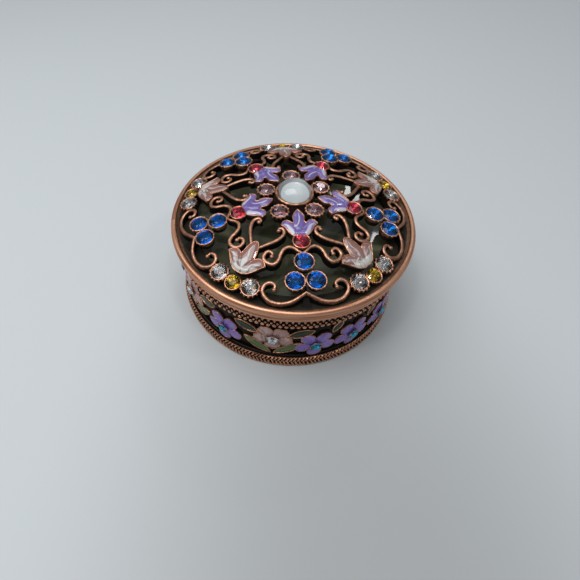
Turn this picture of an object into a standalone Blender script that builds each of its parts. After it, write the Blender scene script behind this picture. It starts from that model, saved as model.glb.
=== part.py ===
# Round jeweled trinket box with a lift-off openwork lid.
# Run it with: blender --background --python part.py
# Lengths are in metres, +Z is up, and the origin is the middle of the underside.
# The lid's pattern repeats five times round the axis. One tulip axis points along -Y, and a
# lily axis lies midway between two tulip axes. Patterns are drawn in lobe coordinates: u is
# sideways from the lobe's axis, and v is outwards from the middle of the lid. They are drawn
# for an openwork of radius 1 and scaled to the lid.

import math

import bmesh
import bpy
from mathutils import Matrix, Vector

# Box sizes
WALL_RADIUS = 0.0323
WALL_THICKNESS = 0.0018
FLOOR_THICKNESS = 0.0020
FLOOR_FILLET = 0.0008
BOX_HEIGHT = 0.0238
FOOT_BAND_HEIGHT = 0.0040
FOOT_BAND_PROUD = 0.0018
FOOT_BAND_TAPER = 0.0008
TOP_BAND_HEIGHT = 0.0045
TOP_BAND_PROUD = 0.0012
RAIL_HEIGHT = 0.0010
RAIL_DEPTH = 0.0005
EDGE_BREAK = 0.0004

# Lid rim sizes
RIM_OVERHANG = 0.0027
RIM_HEIGHT = 0.0034
ROLL_RADIUS = 0.0009
BEAD_RADIUS = 0.0007
BEAD_INSET = 0.0003
RIM_SLOPE = 0.0015
LEDGE_WIDTH = 0.0034
LEDGE_THICKNESS = 0.0008
LEDGE_DROP = 0.0005
PANE_OVERLAP = 0.0007
FLANGE_DEPTH = 0.0025
FLANGE_THICKNESS = 0.0010
PANE_THICKNESS = 0.0012

# Clearance between pieces that rest on or in each other
SEAT_GAP = 0.0003

# Openwork sizes
DOME_RISE = 0.0087
DOME_POWER = 0.8
SCROLL_WIDTH = 0.0011
SCROLL_CREST = 0.0008
SCROLL_DEPTH = 0.0026
END_SHARE = 0.7
TAPER_STEP = 0.1
PETAL_DEPTH = 0.0024
PETAL_LIFT = 0.0002
TIE_WIDTH = 0.0011
TIE_DEPTH = 0.0016
LOBES = 5

# Stones of the lid, by diameter
CABOCHON_DIAMETER = 0.0090
CABOCHON_HEIGHT = 0.0034
AMETHYST_DIAMETER = 0.0043
RED_DIAMETER = 0.0042
BLUE_DIAMETER = 0.0047
YELLOW_DIAMETER = 0.0038
CLEAR_DIAMETER = 0.0043

# Cups that hold the stones
BEZEL_WALL = 0.0004
BEZEL_HEIGHT = 0.0006
CUP_MARGIN = 0.00015
CUP_DEPTH = 0.0026
CUP_TAPER = 0.85
CUP_GAP = 0.0003
CUP_TILT = 0.5
CUP_SIDES = 8
TREFOIL_POST = 0.0012
NECK_BITE = 0.0007
LILY_FOOT = 0.0011
RED_TO_BLUE = 0.0012
BEZEL_TO_AMETHYST = 0.00045
SKIRT_BITE = 0.0006
SEAT_LIFT = {"amethyst": -0.0003, "red": -0.0001, "blue_inner": 0.0005, "blue_outer": 0.0003,
             "yellow": -0.0004, "clear": -0.0003}

# Circles that the outer stones stand on, as shares of the openwork's radius
BLUE_SHARE = 0.808
YELLOW_SHARE = 0.909
CLEAR_SHARE = 0.897

# Flowers and leaves of the side
FLOWER_DIAMETER = 0.0114
FLOWER_PROUD = 0.0009
LEAF_PROUD = 0.0006
LOWER_LEAF = {"spread": 7.5, "height": 0.0080, "turn": 36.0, "length": 0.0098, "width": 0.0030}
UPPER_LEAF = {"spread": 13.3, "height": 0.0158, "turn": 20.0, "length": 0.0074, "width": 0.0034}
SMALL_LEAF = {"spread": 0.0, "height": 0.0166, "turn": 65.0, "length": 0.0052, "width": 0.0024}
RELIEF_ROOT = 0.0010
MAUVE_HEIGHT = 0.0134
LAVENDER_HEIGHT = 0.0100
SIDE_SEAT_PROUD = 0.00025
SIDE_SEAT_MARGIN = 0.0003
AQUA_DIAMETER = 0.0032
SIDE_CLEAR_DIAMETER = 0.0038

# One half turn of side flowers, as kind and direction in degrees
FLOWERS = (("mauve", 205.0), ("lavender", 230.0), ("mauve", 256.0), ("lavender", 277.0),
           ("lavender", 297.0), ("lavender", 318.0), ("mauve", 341.0), ("lavender", 362.5))

# Stone shape, as shares of the stone's diameter
TABLE_SHARE = 0.55
CROWN_SHARE = 0.17

# How many sides round shapes have
TURN_SIDES = 32
BEZEL_SIDES = 12
SIDE_STONE_SIDES = 6
TIE_SIDES = 4

# Faces closer than this angle, in degrees, count as one flat face
FLAT_ANGLE = 0.5

# Sizes worked out from the ones above
CAVITY_RADIUS = WALL_RADIUS - WALL_THICKNESS
LID_RADIUS = WALL_RADIUS + RIM_OVERHANG
LID_BASE = BOX_HEIGHT + SEAT_GAP
RIM_PLANE = LID_BASE + RIM_HEIGHT
OPENWORK_RADIUS = LID_RADIUS - RIM_SLOPE
BLUE_CIRCLE = BLUE_SHARE * OPENWORK_RADIUS
YELLOW_CIRCLE = YELLOW_SHARE * OPENWORK_RADIUS
CLEAR_CIRCLE = CLEAR_SHARE * OPENWORK_RADIUS
FLANGE_OUTER = CAVITY_RADIUS - SEAT_GAP
FLANGE_INNER = FLANGE_OUTER - FLANGE_THICKNESS
PANE_RADIUS = FLANGE_INNER - SEAT_GAP
LEDGE_INNER = PANE_RADIUS - PANE_OVERLAP
LEDGE_OUTER = LID_RADIUS - LEDGE_WIDTH
LEDGE_TOP = RIM_PLANE - LEDGE_DROP
PANE_TOP = LEDGE_TOP - LEDGE_THICKNESS - SEAT_GAP


def new_collection(name):
    collection = bpy.data.collections.new(name)
    bpy.context.scene.collection.children.link(collection)
    return collection


def new_material(name, colour, roughness, metallic):
    material = bpy.data.materials.new(name)
    material.use_nodes = True
    shader = material.node_tree.nodes["Principled BSDF"]
    shader.inputs["Base Color"].default_value = (*colour, 1.0)
    shader.inputs["Roughness"].default_value = roughness
    shader.inputs["Metallic"].default_value = metallic
    return material


def arc(centre, radius, start, end, steps):
    """Points along an arc, with the angles in degrees."""
    points = []
    for step in range(steps + 1):
        angle = math.radians(start + (end - start) * step / steps)
        points.append((centre[0] + radius * math.cos(angle), centre[1] + radius * math.sin(angle)))
    return points


def object_from_bmesh(name, shape, collection, material=None):
    mesh = bpy.data.meshes.new(name)
    shape.to_mesh(mesh)
    shape.free()
    item = bpy.data.objects.new(name, mesh)
    collection.objects.link(item)
    if material:
        mesh.materials.append(material)
    return item


def turned(name, profile, closed, sides, collection, material=None):
    """Turn a profile of (radius, height) points round the Z axis."""
    shape = bmesh.new()
    corners = [shape.verts.new((radius, 0.0, height)) for radius, height in profile]
    for first, second in zip(corners, corners[1:]):
        shape.edges.new((first, second))
    if closed:
        shape.edges.new((corners[-1], corners[0]))
    item = object_from_bmesh(name, shape, collection, material)
    screw = item.modifiers.new("turn", "SCREW")
    screw.steps = sides
    screw.render_steps = sides
    screw.use_merge_vertices = True
    screw.merge_threshold = 0.00001
    screw.use_smooth_shade = False
    return item


def mesh_from_curve(item, collection, material=None):
    """Replace a curve object by a closed mesh object in the same place."""
    graph = bpy.context.evaluated_depsgraph_get()
    mesh = bpy.data.meshes.new_from_object(item.evaluated_get(graph))
    shape = bmesh.new()
    shape.from_mesh(mesh)
    bmesh.ops.remove_doubles(shape, verts=shape.verts, dist=0.000005)
    bmesh.ops.triangulate(shape, faces=shape.faces)
    bmesh.ops.recalc_face_normals(shape, faces=shape.faces)
    shape.to_mesh(mesh)
    shape.free()
    name = item.name
    place = item.matrix_world.copy()
    bpy.data.objects.remove(item)
    solid = bpy.data.objects.new(name, mesh)
    solid.matrix_world = place
    collection.objects.link(solid)
    if material:
        mesh.materials.append(material)
    return solid


def prism(name, outline, bottom, top, place, collection):
    """A flat outline with a thickness, from bottom to top along the place's own Z."""
    curve = bpy.data.curves.new(name, "CURVE")
    curve.dimensions = "2D"
    curve.fill_mode = "BOTH"
    curve.extrude = (top - bottom) / 2
    spline = curve.splines.new("POLY")
    spline.points.add(len(outline) - 1)
    for spot, (across, along) in zip(spline.points, outline):
        spot.co = (across, along, 0.0, 1.0)
    spline.use_cyclic_u = True
    item = bpy.data.objects.new(name, curve)
    collection.objects.link(item)
    item.matrix_world = place @ Matrix.Translation((0.0, 0.0, (top + bottom) / 2))
    bpy.context.view_layer.update()
    return mesh_from_curve(item, collection)


def ribbon(name, points, section, collection):
    """A strip of metal on edge that follows the points, a little thinner towards its ends."""
    curve = bpy.data.curves.new(name, "CURVE")
    curve.dimensions = "3D"
    curve.twist_mode = "Z_UP"
    curve.bevel_mode = "OBJECT"
    curve.bevel_object = section
    curve.use_fill_caps = True
    spline = curve.splines.new("POLY")
    spline.points.add(len(points) - 1)
    last = len(points) - 1
    for number, (spot, point) in enumerate(zip(spline.points, points)):
        spot.co = (*point, 1.0)
        spot.radius = min(1.0, END_SHARE + TAPER_STEP * min(number, last - number))
    item = bpy.data.objects.new(name, curve)
    collection.objects.link(item)
    bpy.context.view_layer.update()
    return mesh_from_curve(item, collection)


def cone(name, sides, lower, upper, height, place, collection, material=None):
    """A round block that stands on the place's origin and tapers along its own Z.

    Its radii are measured to the middle of its flat sides, and a flat side faces along X."""
    corner = 1.0 / math.cos(math.pi / sides)
    middle = Matrix.Translation((0.0, 0.0, height / 2)) @ Matrix.Rotation(math.pi / sides, 4, "Z")
    shape = bmesh.new()
    bmesh.ops.create_cone(shape, cap_ends=True, segments=sides, radius1=lower * corner,
                          radius2=upper * corner, depth=height, matrix=middle)
    item = object_from_bmesh(name, shape, collection, material)
    item.matrix_world = place
    return item


def mark_as_operand(item):
    item.hide_render = True
    item.display_type = "WIRE"


def fuse(item, operands):
    """Fuse every object of a collection with the item, as one casting."""
    for operand in operands.objects:
        mark_as_operand(operand)
    union = item.modifiers.new("casting", "BOOLEAN")
    union.operation = "UNION"
    union.solver = "EXACT"
    union.operand_type = "COLLECTION"
    union.collection = operands
    merge = item.modifiers.new("merge flat faces", "DECIMATE")
    merge.decimate_type = "DISSOLVE"
    merge.angle_limit = math.radians(FLAT_ANGLE)


def dome_height(radius):
    """Height of the openwork's top at a distance from the axis."""
    share = min(radius / OPENWORK_RADIUS, 1.0)
    return RIM_PLANE + DOME_RISE * (1.0 - share * share) ** DOME_POWER


def dome_fall(radius):
    """How much the openwork's top falls for each metre outwards."""
    step = 0.0001
    return (dome_height(radius - step) - dome_height(radius + step)) / (2 * step)


def lobe_direction(kind, lobe):
    """Direction of a tulip or lily axis, in radians."""
    first = 270.0 if kind == "tulip" else 306.0
    return math.radians(first + 360.0 * lobe / LOBES)


def lobe_point(u, v, direction):
    """A point of the pattern on the top of the openwork."""
    out = Vector((math.cos(direction), math.sin(direction), 0.0))
    side = Vector((math.sin(direction), -math.cos(direction), 0.0))
    point = out * v + side * u
    point.z = dome_height(math.hypot(u, v))
    return point


def lobe_place(v, height, tilt, direction):
    """A frame on a lobe's axis: X across, Y outwards and down the slope, Z off the dome."""
    out = Matrix.Rotation(direction - math.pi / 2, 4, "Z")
    lean = Matrix.Rotation(-tilt, 4, "X")
    return out @ Matrix.Translation((0.0, v, height)) @ lean


def scaled(points):
    """Pattern points at the lid's real size."""
    return [(u * OPENWORK_RADIUS, v * OPENWORK_RADIUS) for u, v in points]


def curl(eye, radius, end_radius, start, sweep, steps, power):
    """A curl that winds round its eye and tightens towards its end, in lobe coordinates."""
    points = []
    for step in range(steps + 1):
        share = step / steps
        angle = math.radians(start + sweep * share)
        reach = radius + (end_radius - radius) * share ** power
        points.append((eye[0] + reach * math.cos(angle), eye[1] + reach * math.sin(angle)))
    return points


def both_sides(path):
    """A path that starts on the lobe's axis, continued to the other side of the axis."""
    return [(-u, v) for u, v in reversed(path[1:])] + path


def mirrored_outline(half):
    """A full outline from the half at positive u, which starts and may end on the axis."""
    other = [(-u, v) for u, v in reversed(half) if u > 0.0]
    return half + other


def cup_radius(diameter):
    return diameter / 2 + CUP_MARGIN


def build_box(parts, metal):
    """The box casting before its flowers and leaves are added."""
    top = WALL_RADIUS + TOP_BAND_PROUD
    foot = WALL_RADIUS + FOOT_BAND_PROUD
    foot_top = foot - FOOT_BAND_TAPER
    band_foot = BOX_HEIGHT - TOP_BAND_HEIGHT
    profile = [
        (0.0, FLOOR_THICKNESS),
        (CAVITY_RADIUS - FLOOR_FILLET, FLOOR_THICKNESS),
        (CAVITY_RADIUS, FLOOR_THICKNESS + FLOOR_FILLET),
        (CAVITY_RADIUS, BOX_HEIGHT),
        (top - EDGE_BREAK, BOX_HEIGHT),
        (top, BOX_HEIGHT - EDGE_BREAK),
        (top, BOX_HEIGHT - RAIL_HEIGHT),
        (top - RAIL_DEPTH, BOX_HEIGHT - TOP_BAND_HEIGHT / 2),
        (top - RAIL_DEPTH, band_foot + EDGE_BREAK),
        (WALL_RADIUS, band_foot),
        (WALL_RADIUS, FOOT_BAND_HEIGHT),
        (foot_top, FOOT_BAND_HEIGHT - EDGE_BREAK),
        (foot, RAIL_HEIGHT),
        (foot, EDGE_BREAK),
        (foot - EDGE_BREAK, 0.0),
        (0.0, 0.0),
    ]
    return turned("box", profile, False, TURN_SIDES, parts, metal)


def flower_outline(diameter):
    """Five petals, one of them pointing down, with a notch between two neighbours."""
    outline = []
    for petal in range(5):
        middle = -90.0 + 72.0 * petal
        for offset, share in ((-36.0, 0.21), (-14.0, 0.49), (14.0, 0.49)):
            angle = math.radians(middle + offset)
            outline.append((diameter * share * math.cos(angle), diameter * share * math.sin(angle)))
    return outline


def leaf_outline(length, width):
    return [(-length / 2, 0.0), (-length / 6, -width / 2), (length / 5, -width / 2),
            (length / 2, 0.0), (length / 5, width / 2), (-length / 6, width / 2)]


def wall_place(direction, height, turn):
    """A frame on the wall: X sideways, Y up, Z outwards, turned about Z, at the axis's distance."""
    upright = Matrix(((0.0, 0.0, 1.0, 0.0), (1.0, 0.0, 0.0, 0.0), (0.0, 1.0, 0.0, 0.0),
                      (0.0, 0.0, 0.0, 1.0)))
    around = Matrix.Rotation(direction, 4, "Z")
    return around @ Matrix.Translation((0.0, 0.0, height)) @ upright @ Matrix.Rotation(turn, 4, "Z")


def leaf(number, shape, direction, side, relief):
    """One leaf in low relief on the wall, on one side of its own middle direction."""
    lowest = WALL_RADIUS - RELIEF_ROOT
    turn = math.radians(side * shape["turn"]) + (0.0 if side > 0 else math.pi)
    place = wall_place(direction + side * math.radians(shape["spread"]), shape["height"], turn)
    prism("leaf_%d" % number, leaf_outline(shape["length"], shape["width"]), lowest,
          WALL_RADIUS + LEAF_PROUD, place, relief)


def all_flowers():
    """Kind and direction of every side flower, in radians."""
    spots = []
    for half in range(2):
        for kind, degrees in FLOWERS:
            spots.append((kind, math.radians(degrees + 180.0 * half)))
    return spots


def build_relief(relief):
    """Flowers with a small stone seat, and the leaves round them."""
    face = WALL_RADIUS + FLOWER_PROUD
    leaves = 0
    flowers = all_flowers()
    for number, (kind, direction) in enumerate(flowers, start=1):
        height = MAUVE_HEIGHT if kind == "mauve" else LAVENDER_HEIGHT
        stone = SIDE_CLEAR_DIAMETER if kind == "mauve" else AQUA_DIAMETER
        prism("flower_%d" % number, flower_outline(FLOWER_DIAMETER), WALL_RADIUS - RELIEF_ROOT,
              face, wall_place(direction, height, 0.0), relief)
        seat = wall_place(direction, height, 0.0)
        seat = seat @ Matrix.Translation((0.0, 0.0, WALL_RADIUS))
        cone("side_seat_%d" % number, SIDE_STONE_SIDES, stone / 2 + SIDE_SEAT_MARGIN,
             stone / 2 + SIDE_SEAT_MARGIN, FLOWER_PROUD + SIDE_SEAT_PROUD, seat, relief)
        if kind == "mauve":
            for side in (-1, 1):
                for shape in (LOWER_LEAF, UPPER_LEAF):
                    leaves += 1
                    leaf(leaves, shape, direction, side, relief)
        following = flowers[number % len(flowers)]
        if kind == "lavender" and following[0] == "lavender":
            gap = (following[1] - direction) % (2 * math.pi)
            leaves += 1
            leaf(leaves, SMALL_LEAF, direction + gap / 2, 1, relief)


def build_lid_rim(parts, metal):
    """The ring of the lid: roll, lower bead, locating flange, and ledge over the pane."""
    roll = arc((LID_RADIUS - ROLL_RADIUS, RIM_PLANE), ROLL_RADIUS, 150.0, -50.0, 4)
    bead_centre = (LID_RADIUS - BEAD_RADIUS - BEAD_INSET, LID_BASE + BEAD_RADIUS + EDGE_BREAK)
    bead = arc(bead_centre, BEAD_RADIUS, 60.0, -60.0, 2)
    ledge_under = LEDGE_TOP - LEDGE_THICKNESS
    profile = [(LEDGE_OUTER, LEDGE_TOP)] + roll + bead
    profile += [
        (LID_RADIUS - ROLL_RADIUS - EDGE_BREAK, LID_BASE),
        (FLANGE_OUTER, LID_BASE),
        (FLANGE_OUTER, LID_BASE - FLANGE_DEPTH),
        (FLANGE_INNER, LID_BASE - FLANGE_DEPTH),
        (FLANGE_INNER, ledge_under),
        (LEDGE_INNER, ledge_under),
        (LEDGE_INNER, LEDGE_TOP),
    ]
    return turned("lid", profile, True, TURN_SIDES, parts, metal)


def scroll_section(operands):
    """The cross-section of a scroll: a crest at the top and straight, deeper sides."""
    curve = bpy.data.curves.new("scroll_section", "CURVE")
    curve.dimensions = "2D"
    spline = curve.splines.new("POLY")
    corners = ((-SCROLL_WIDTH / 2, -SCROLL_DEPTH), (SCROLL_WIDTH / 2, -SCROLL_DEPTH),
               (SCROLL_CREST / 2, 0.0), (-SCROLL_CREST / 2, 0.0))
    spline.points.add(len(corners) - 1)
    for spot, (across, up) in zip(spline.points, corners):
        spot.co = (across, up, 0.0, 1.0)
    spline.use_cyclic_u = True
    item = bpy.data.objects.new("scroll_section", curve)
    operands.objects.link(item)
    mark_as_operand(item)
    return item


def neck_circle(layout):
    """How far out the neck between a red cup and a blue cup lies."""
    blue_edge = layout["blue_inner"]["circle"] - cup_radius(BLUE_DIAMETER)
    return blue_edge - RED_TO_BLUE / 2


def build_scrolls(layout, section, openwork):
    """S scrolls and C scrolls beside each tulip axis, and stems beside each lily axis."""
    s_lead = [(0.0537, 0.5343), (0.1104, 0.5224), (0.1582, 0.5552)]
    s_curl = curl((0.2478, 0.5881), 0.0612, 0.0269, 155.0, -320.0, 6, 2.2)
    c_lead = [(0.0, 0.8657), (0.0627, 0.9045), (0.1552, 0.9284)]
    c_curl = curl((0.2627, 0.8358), 0.0776, 0.0328, 95.0, -280.0, 5, 1.3)
    stem_lead = [(0.0239, 0.6149), (0.0746, 0.5433), (0.1194, 0.4776)]
    stem_curl = curl((0.106, 0.3985), 0.0328, 0.0269, 20.0, -190.0, 4, 1.0)
    root = (0.0, neck_circle(layout))
    s_path = both_sides([root] + scaled(s_lead + s_curl))
    c_path = both_sides(scaled(c_lead + c_curl))
    stem_path = scaled(stem_lead + stem_curl)
    other_stem = [(-u, v) for u, v in stem_path]
    paths = (("s_scrolls", "tulip", s_path), ("c_scrolls", "tulip", c_path),
             ("stem", "lily", stem_path), ("other_stem", "lily", other_stem))
    for name, kind, path in paths:
        for lobe in range(LOBES):
            direction = lobe_direction(kind, lobe)
            points = [lobe_point(u, v, direction) for u, v in path]
            ribbon("%s_%d" % (name, lobe + 1), points, section, openwork)


def build_petals(layout, openwork):
    """Tulips that grow out of the red cups, and lilies that grow out of the yellow cups."""
    tulip = [(0.0, -0.2806), (0.0448, -0.2149), (0.0418, -0.1672), (0.0567, -0.1463),
             (0.0955, -0.1761), (0.1388, -0.1373), (0.1015, -0.0896), (0.0806, -0.0507),
             (0.0, -0.0806)]
    lily = [(0.0, -0.3403), (0.0388, -0.3015), (0.0522, -0.2358), (0.0597, -0.197),
            (0.1075, -0.2269), (0.1612, -0.191), (0.1015, -0.1134), (0.0537, -0.0597)]
    red = layout["red"]
    yellow = layout["yellow"]
    lily_base = yellow["circle"] - YELLOW_DIAMETER / 2 - SEAT_GAP
    for name, kind, outline, base in (("tulip", "tulip", tulip, red["circle"]),
                                      ("lily", "lily", lily, lily_base - scaled(lily)[-1][1])):
        outline = [(u, v + base) for u, v in scaled(mirrored_outline(outline))]
        inner = min(v for u, v in outline)
        outer = max(v for u, v in outline)
        fall = dome_height(inner) - dome_height(outer)
        tilt = math.atan2(fall, outer - inner)
        middle = (inner + outer) / 2
        height = (dome_height(inner) + dome_height(outer)) / 2 + PETAL_LIFT
        outline = [(u, (v - middle) / math.cos(tilt)) for u, v in outline]
        for lobe in range(LOBES):
            place = lobe_place(middle, height, tilt, lobe_direction(kind, lobe))
            prism("%s_%d" % (name, lobe + 1), outline, -PETAL_DEPTH, 0.0, place, openwork)


def stone_layout():
    """Circle, spread from the axis, tilt and seat height for each ring of stones on the lid."""
    blue_cup = cup_radius(BLUE_DIAMETER)
    blue_half = blue_cup + CUP_GAP / 2
    blue_spread = math.asin(blue_half / BLUE_CIRCLE)
    blue_inner = BLUE_CIRCLE * math.cos(blue_spread) - math.sqrt(3.0) * blue_half
    red_circle = blue_inner - blue_cup - cup_radius(RED_DIAMETER) - RED_TO_BLUE
    bezel = CABOCHON_DIAMETER / 2 + SEAT_GAP + BEZEL_WALL
    amethyst_circle = bezel + BEZEL_TO_AMETHYST + cup_radius(AMETHYST_DIAMETER)
    pair = cup_radius(CLEAR_DIAMETER) + cup_radius(YELLOW_DIAMETER) + CUP_GAP
    clear_spread = 2.0 * math.asin(pair / 2 / CLEAR_CIRCLE)
    rings = {
        "amethyst": ("lily", amethyst_circle, 0.0, AMETHYST_DIAMETER),
        "red": ("tulip", red_circle, 0.0, RED_DIAMETER),
        "blue_inner": ("tulip", blue_inner, 0.0, BLUE_DIAMETER),
        "blue_outer": ("tulip", BLUE_CIRCLE, blue_spread, BLUE_DIAMETER),
        "yellow": ("lily", YELLOW_CIRCLE, 0.0, YELLOW_DIAMETER),
        "clear": ("lily", CLEAR_CIRCLE, clear_spread, CLEAR_DIAMETER),
    }
    layout = {}
    for name, (kind, circle, spread, diameter) in rings.items():
        layout[name] = {
            "kind": kind, "circle": circle, "spread": spread, "diameter": diameter,
            "seat": dome_height(circle) + SEAT_LIFT[name],
            "tilt": CUP_TILT * math.atan(dome_fall(circle)),
        }
    return layout


def ring_places(ring):
    """A frame on the seat of each stone of a ring."""
    places = []
    for lobe in range(LOBES):
        direction = lobe_direction(ring["kind"], lobe)
        for side in ((-1, 1) if ring["spread"] else (0,)):
            places.append(lobe_place(ring["circle"], ring["seat"], ring["tilt"],
                                     direction + side * ring["spread"]))
    return places


def build_cups(layout, openwork):
    """A tapered cup under each stone. The cups next to the rim reach down into the ledge."""
    for name, ring in layout.items():
        radius = cup_radius(ring["diameter"])
        depth = max(CUP_DEPTH, ring["seat"] - LEDGE_TOP + LEDGE_THICKNESS / 2)
        if ring["circle"] < LEDGE_INNER:
            depth = CUP_DEPTH
        for number, place in enumerate(ring_places(ring), start=1):
            place = place @ Matrix.Translation((0.0, 0.0, -depth))
            cone("%s_cup_%d" % (name, number), CUP_SIDES, radius * CUP_TAPER, radius, depth, place,
                 openwork)


def build_hub(layout, openwork):
    """The bezel of the cabochon, the ties from it to the tulips, and the webs of the scrolls."""
    inner = CABOCHON_DIAMETER / 2 + SEAT_GAP
    outer = inner + BEZEL_WALL
    seat = cabochon_seat()
    skirt = layout["amethyst"]["circle"] - cup_radius(AMETHYST_DIAMETER) + SKIRT_BITE
    profile = [(0.0, seat), (inner, seat), (inner, seat + BEZEL_HEIGHT), (outer, seat + BEZEL_HEIGHT),
               (outer, seat - BEZEL_HEIGHT), (skirt, seat - CUP_DEPTH), (0.0, seat - CUP_DEPTH)]
    turned("bezel", profile, False, BEZEL_SIDES, openwork)
    tie_start = outer - BEZEL_WALL
    red = layout["red"]
    tie_end = red["circle"] - RED_DIAMETER / 2 + TIE_WIDTH
    tie_top = red["seat"] - TIE_WIDTH / 2
    tie = [(-TIE_WIDTH / 2, tie_start), (TIE_WIDTH / 2, tie_start), (TIE_WIDTH / 2, tie_end),
           (-TIE_WIDTH / 2, tie_end)]
    web = [(-0.0657, 0.9672), (-0.0209, 0.8), (0.0209, 0.8), (0.0657, 0.9672)]
    blue = layout["blue_outer"]
    web_top = dome_height(blue["circle"]) - SCROLL_DEPTH / 2
    ledge_middle = LEDGE_TOP - LEDGE_THICKNESS / 2
    core = (layout["blue_inner"]["circle"] + 2 * blue["circle"] * math.cos(blue["spread"])) / 3
    core_top = blue["seat"] - SEAT_GAP
    neck = neck_circle(layout)
    neck_top = dome_height(neck) - SEAT_GAP
    neck_post = RED_TO_BLUE / 2 + NECK_BITE
    yellow = layout["yellow"]
    foot = yellow["circle"] - cup_radius(YELLOW_DIAMETER)
    foot_top = yellow["seat"] - SEAT_GAP
    posts = (("trefoil", "tulip", core, core_top, TIE_DEPTH, blue["tilt"], TREFOIL_POST),
             ("neck", "tulip", neck, neck_top, TIE_DEPTH, red["tilt"], neck_post),
             ("lily_foot", "lily", foot, foot_top, foot_top - ledge_middle, 0.0, LILY_FOOT))
    for lobe in range(LOBES):
        place = lobe_place(0.0, 0.0, 0.0, lobe_direction("tulip", lobe))
        prism("tie_%d" % (lobe + 1), tie, tie_top - TIE_DEPTH, tie_top, place, openwork)
        prism("web_%d" % (lobe + 1), scaled(web), ledge_middle, web_top, place, openwork)
        for name, kind, circle, top, depth, tilt, radius in posts:
            place = lobe_place(circle, top - depth, tilt, lobe_direction(kind, lobe))
            cone("%s_%d" % (name, lobe + 1), TIE_SIDES, radius, radius, depth, place, openwork)


def cabochon_seat():
    return RIM_PLANE + DOME_RISE - BEZEL_HEIGHT + SEAT_GAP


def build_pane(parts, glass):
    shape = bmesh.new()
    middle = Matrix.Translation((0.0, 0.0, PANE_TOP - PANE_THICKNESS / 2))
    bmesh.ops.create_cone(shape, cap_ends=True, segments=TURN_SIDES, radius1=PANE_RADIUS,
                          radius2=PANE_RADIUS, depth=PANE_THICKNESS, matrix=middle)
    return object_from_bmesh("pane", shape, parts, glass)


def build_cabochon(parts, glass):
    """A clear dome with a flat back."""
    base = cabochon_seat() + SEAT_GAP
    radius = CABOCHON_DIAMETER / 2
    edge = CABOCHON_HEIGHT / 5
    profile = [(0.0, base + CABOCHON_HEIGHT)]
    for step in range(1, 6):
        angle = math.radians(90.0 - 18.0 * step)
        profile.append((radius * math.cos(angle),
                        base + edge + (CABOCHON_HEIGHT - edge) * math.sin(angle)))
    profile += [(radius, base), (0.0, base)]
    return turned("cabochon", profile, False, BEZEL_SIDES, parts, glass)


def stone(name, sides, diameter, place, parts, glass):
    """A flat-backed faceted stone that sits a clearance above its seat."""
    lifted = place @ Matrix.Translation((0.0, 0.0, SEAT_GAP))
    return cone(name, sides, diameter / 2, diameter / 2 * TABLE_SHARE, diameter * CROWN_SHARE,
                lifted, parts, glass)


def build_lid_stones(layout, parts, glasses):
    """Every faceted stone of the lid, one object each."""
    names = {"amethyst": "amethyst", "red": "red_stone", "blue_inner": "blue_stone",
             "blue_outer": "blue_stone", "yellow": "yellow_stone", "clear": "clear_stone"}
    counts = {}
    for ring_name, ring in layout.items():
        name = names[ring_name]
        for place in ring_places(ring):
            counts[name] = counts.get(name, 0) + 1
            stone("%s_%d" % (name, counts[name]), CUP_SIDES, ring["diameter"], place, parts,
                  glasses[name])


def build_side_stones(parts, glasses):
    """One stone on the seat of each side flower."""
    counts = {"side_aqua": 0, "side_clear": 0}
    for kind, direction in all_flowers():
        name = "side_clear" if kind == "mauve" else "side_aqua"
        height = MAUVE_HEIGHT if kind == "mauve" else LAVENDER_HEIGHT
        diameter = SIDE_CLEAR_DIAMETER if kind == "mauve" else AQUA_DIAMETER
        counts[name] += 1
        place = wall_place(direction, height, 0.0)
        place = place @ Matrix.Translation((0.0, 0.0, WALL_RADIUS + FLOWER_PROUD + SIDE_SEAT_PROUD))
        stone("%s_%d" % (name, counts[name]), SIDE_STONE_SIDES, diameter, place, parts,
              glasses[name])


def main():
    for item in list(bpy.data.objects):
        bpy.data.objects.remove(item)
    parts = new_collection("jeweled trinket box")
    openwork = new_collection("openwork pieces")
    relief = new_collection("relief pieces")
    guides = new_collection("guides")
    copper = new_material("antique copper", (0.52, 0.24, 0.13), 0.35, 1.0)
    dark_glass = new_material("dark glass", (0.012, 0.014, 0.008), 0.08, 0.0)
    clear_glass = new_material("clear glass", (0.80, 0.83, 0.85), 0.03, 0.0)
    glasses = {
        "amethyst": new_material("amethyst glass", (0.42, 0.24, 0.28), 0.05, 0.0),
        "red_stone": new_material("rose red glass", (0.60, 0.05, 0.09), 0.05, 0.0),
        "blue_stone": new_material("sapphire glass", (0.01, 0.10, 0.55), 0.05, 0.0),
        "yellow_stone": new_material("citrine glass", (0.60, 0.42, 0.04), 0.05, 0.0),
        "clear_stone": clear_glass,
        "side_aqua": new_material("aqua glass", (0.01, 0.30, 0.45), 0.05, 0.0),
        "side_clear": clear_glass,
    }
    layout = stone_layout()
    box = build_box(parts, copper)
    build_relief(relief)
    fuse(box, relief)
    lid = build_lid_rim(parts, copper)
    build_scrolls(layout, scroll_section(guides), openwork)
    build_petals(layout, openwork)
    build_cups(layout, openwork)
    build_hub(layout, openwork)
    fuse(lid, openwork)
    build_pane(parts, dark_glass)
    build_cabochon(parts, clear_glass)
    build_lid_stones(layout, parts, glasses)
    build_side_stones(parts, glasses)


main()
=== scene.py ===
import math

import bmesh
import bpy
from mathutils import Matrix, Vector


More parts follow.
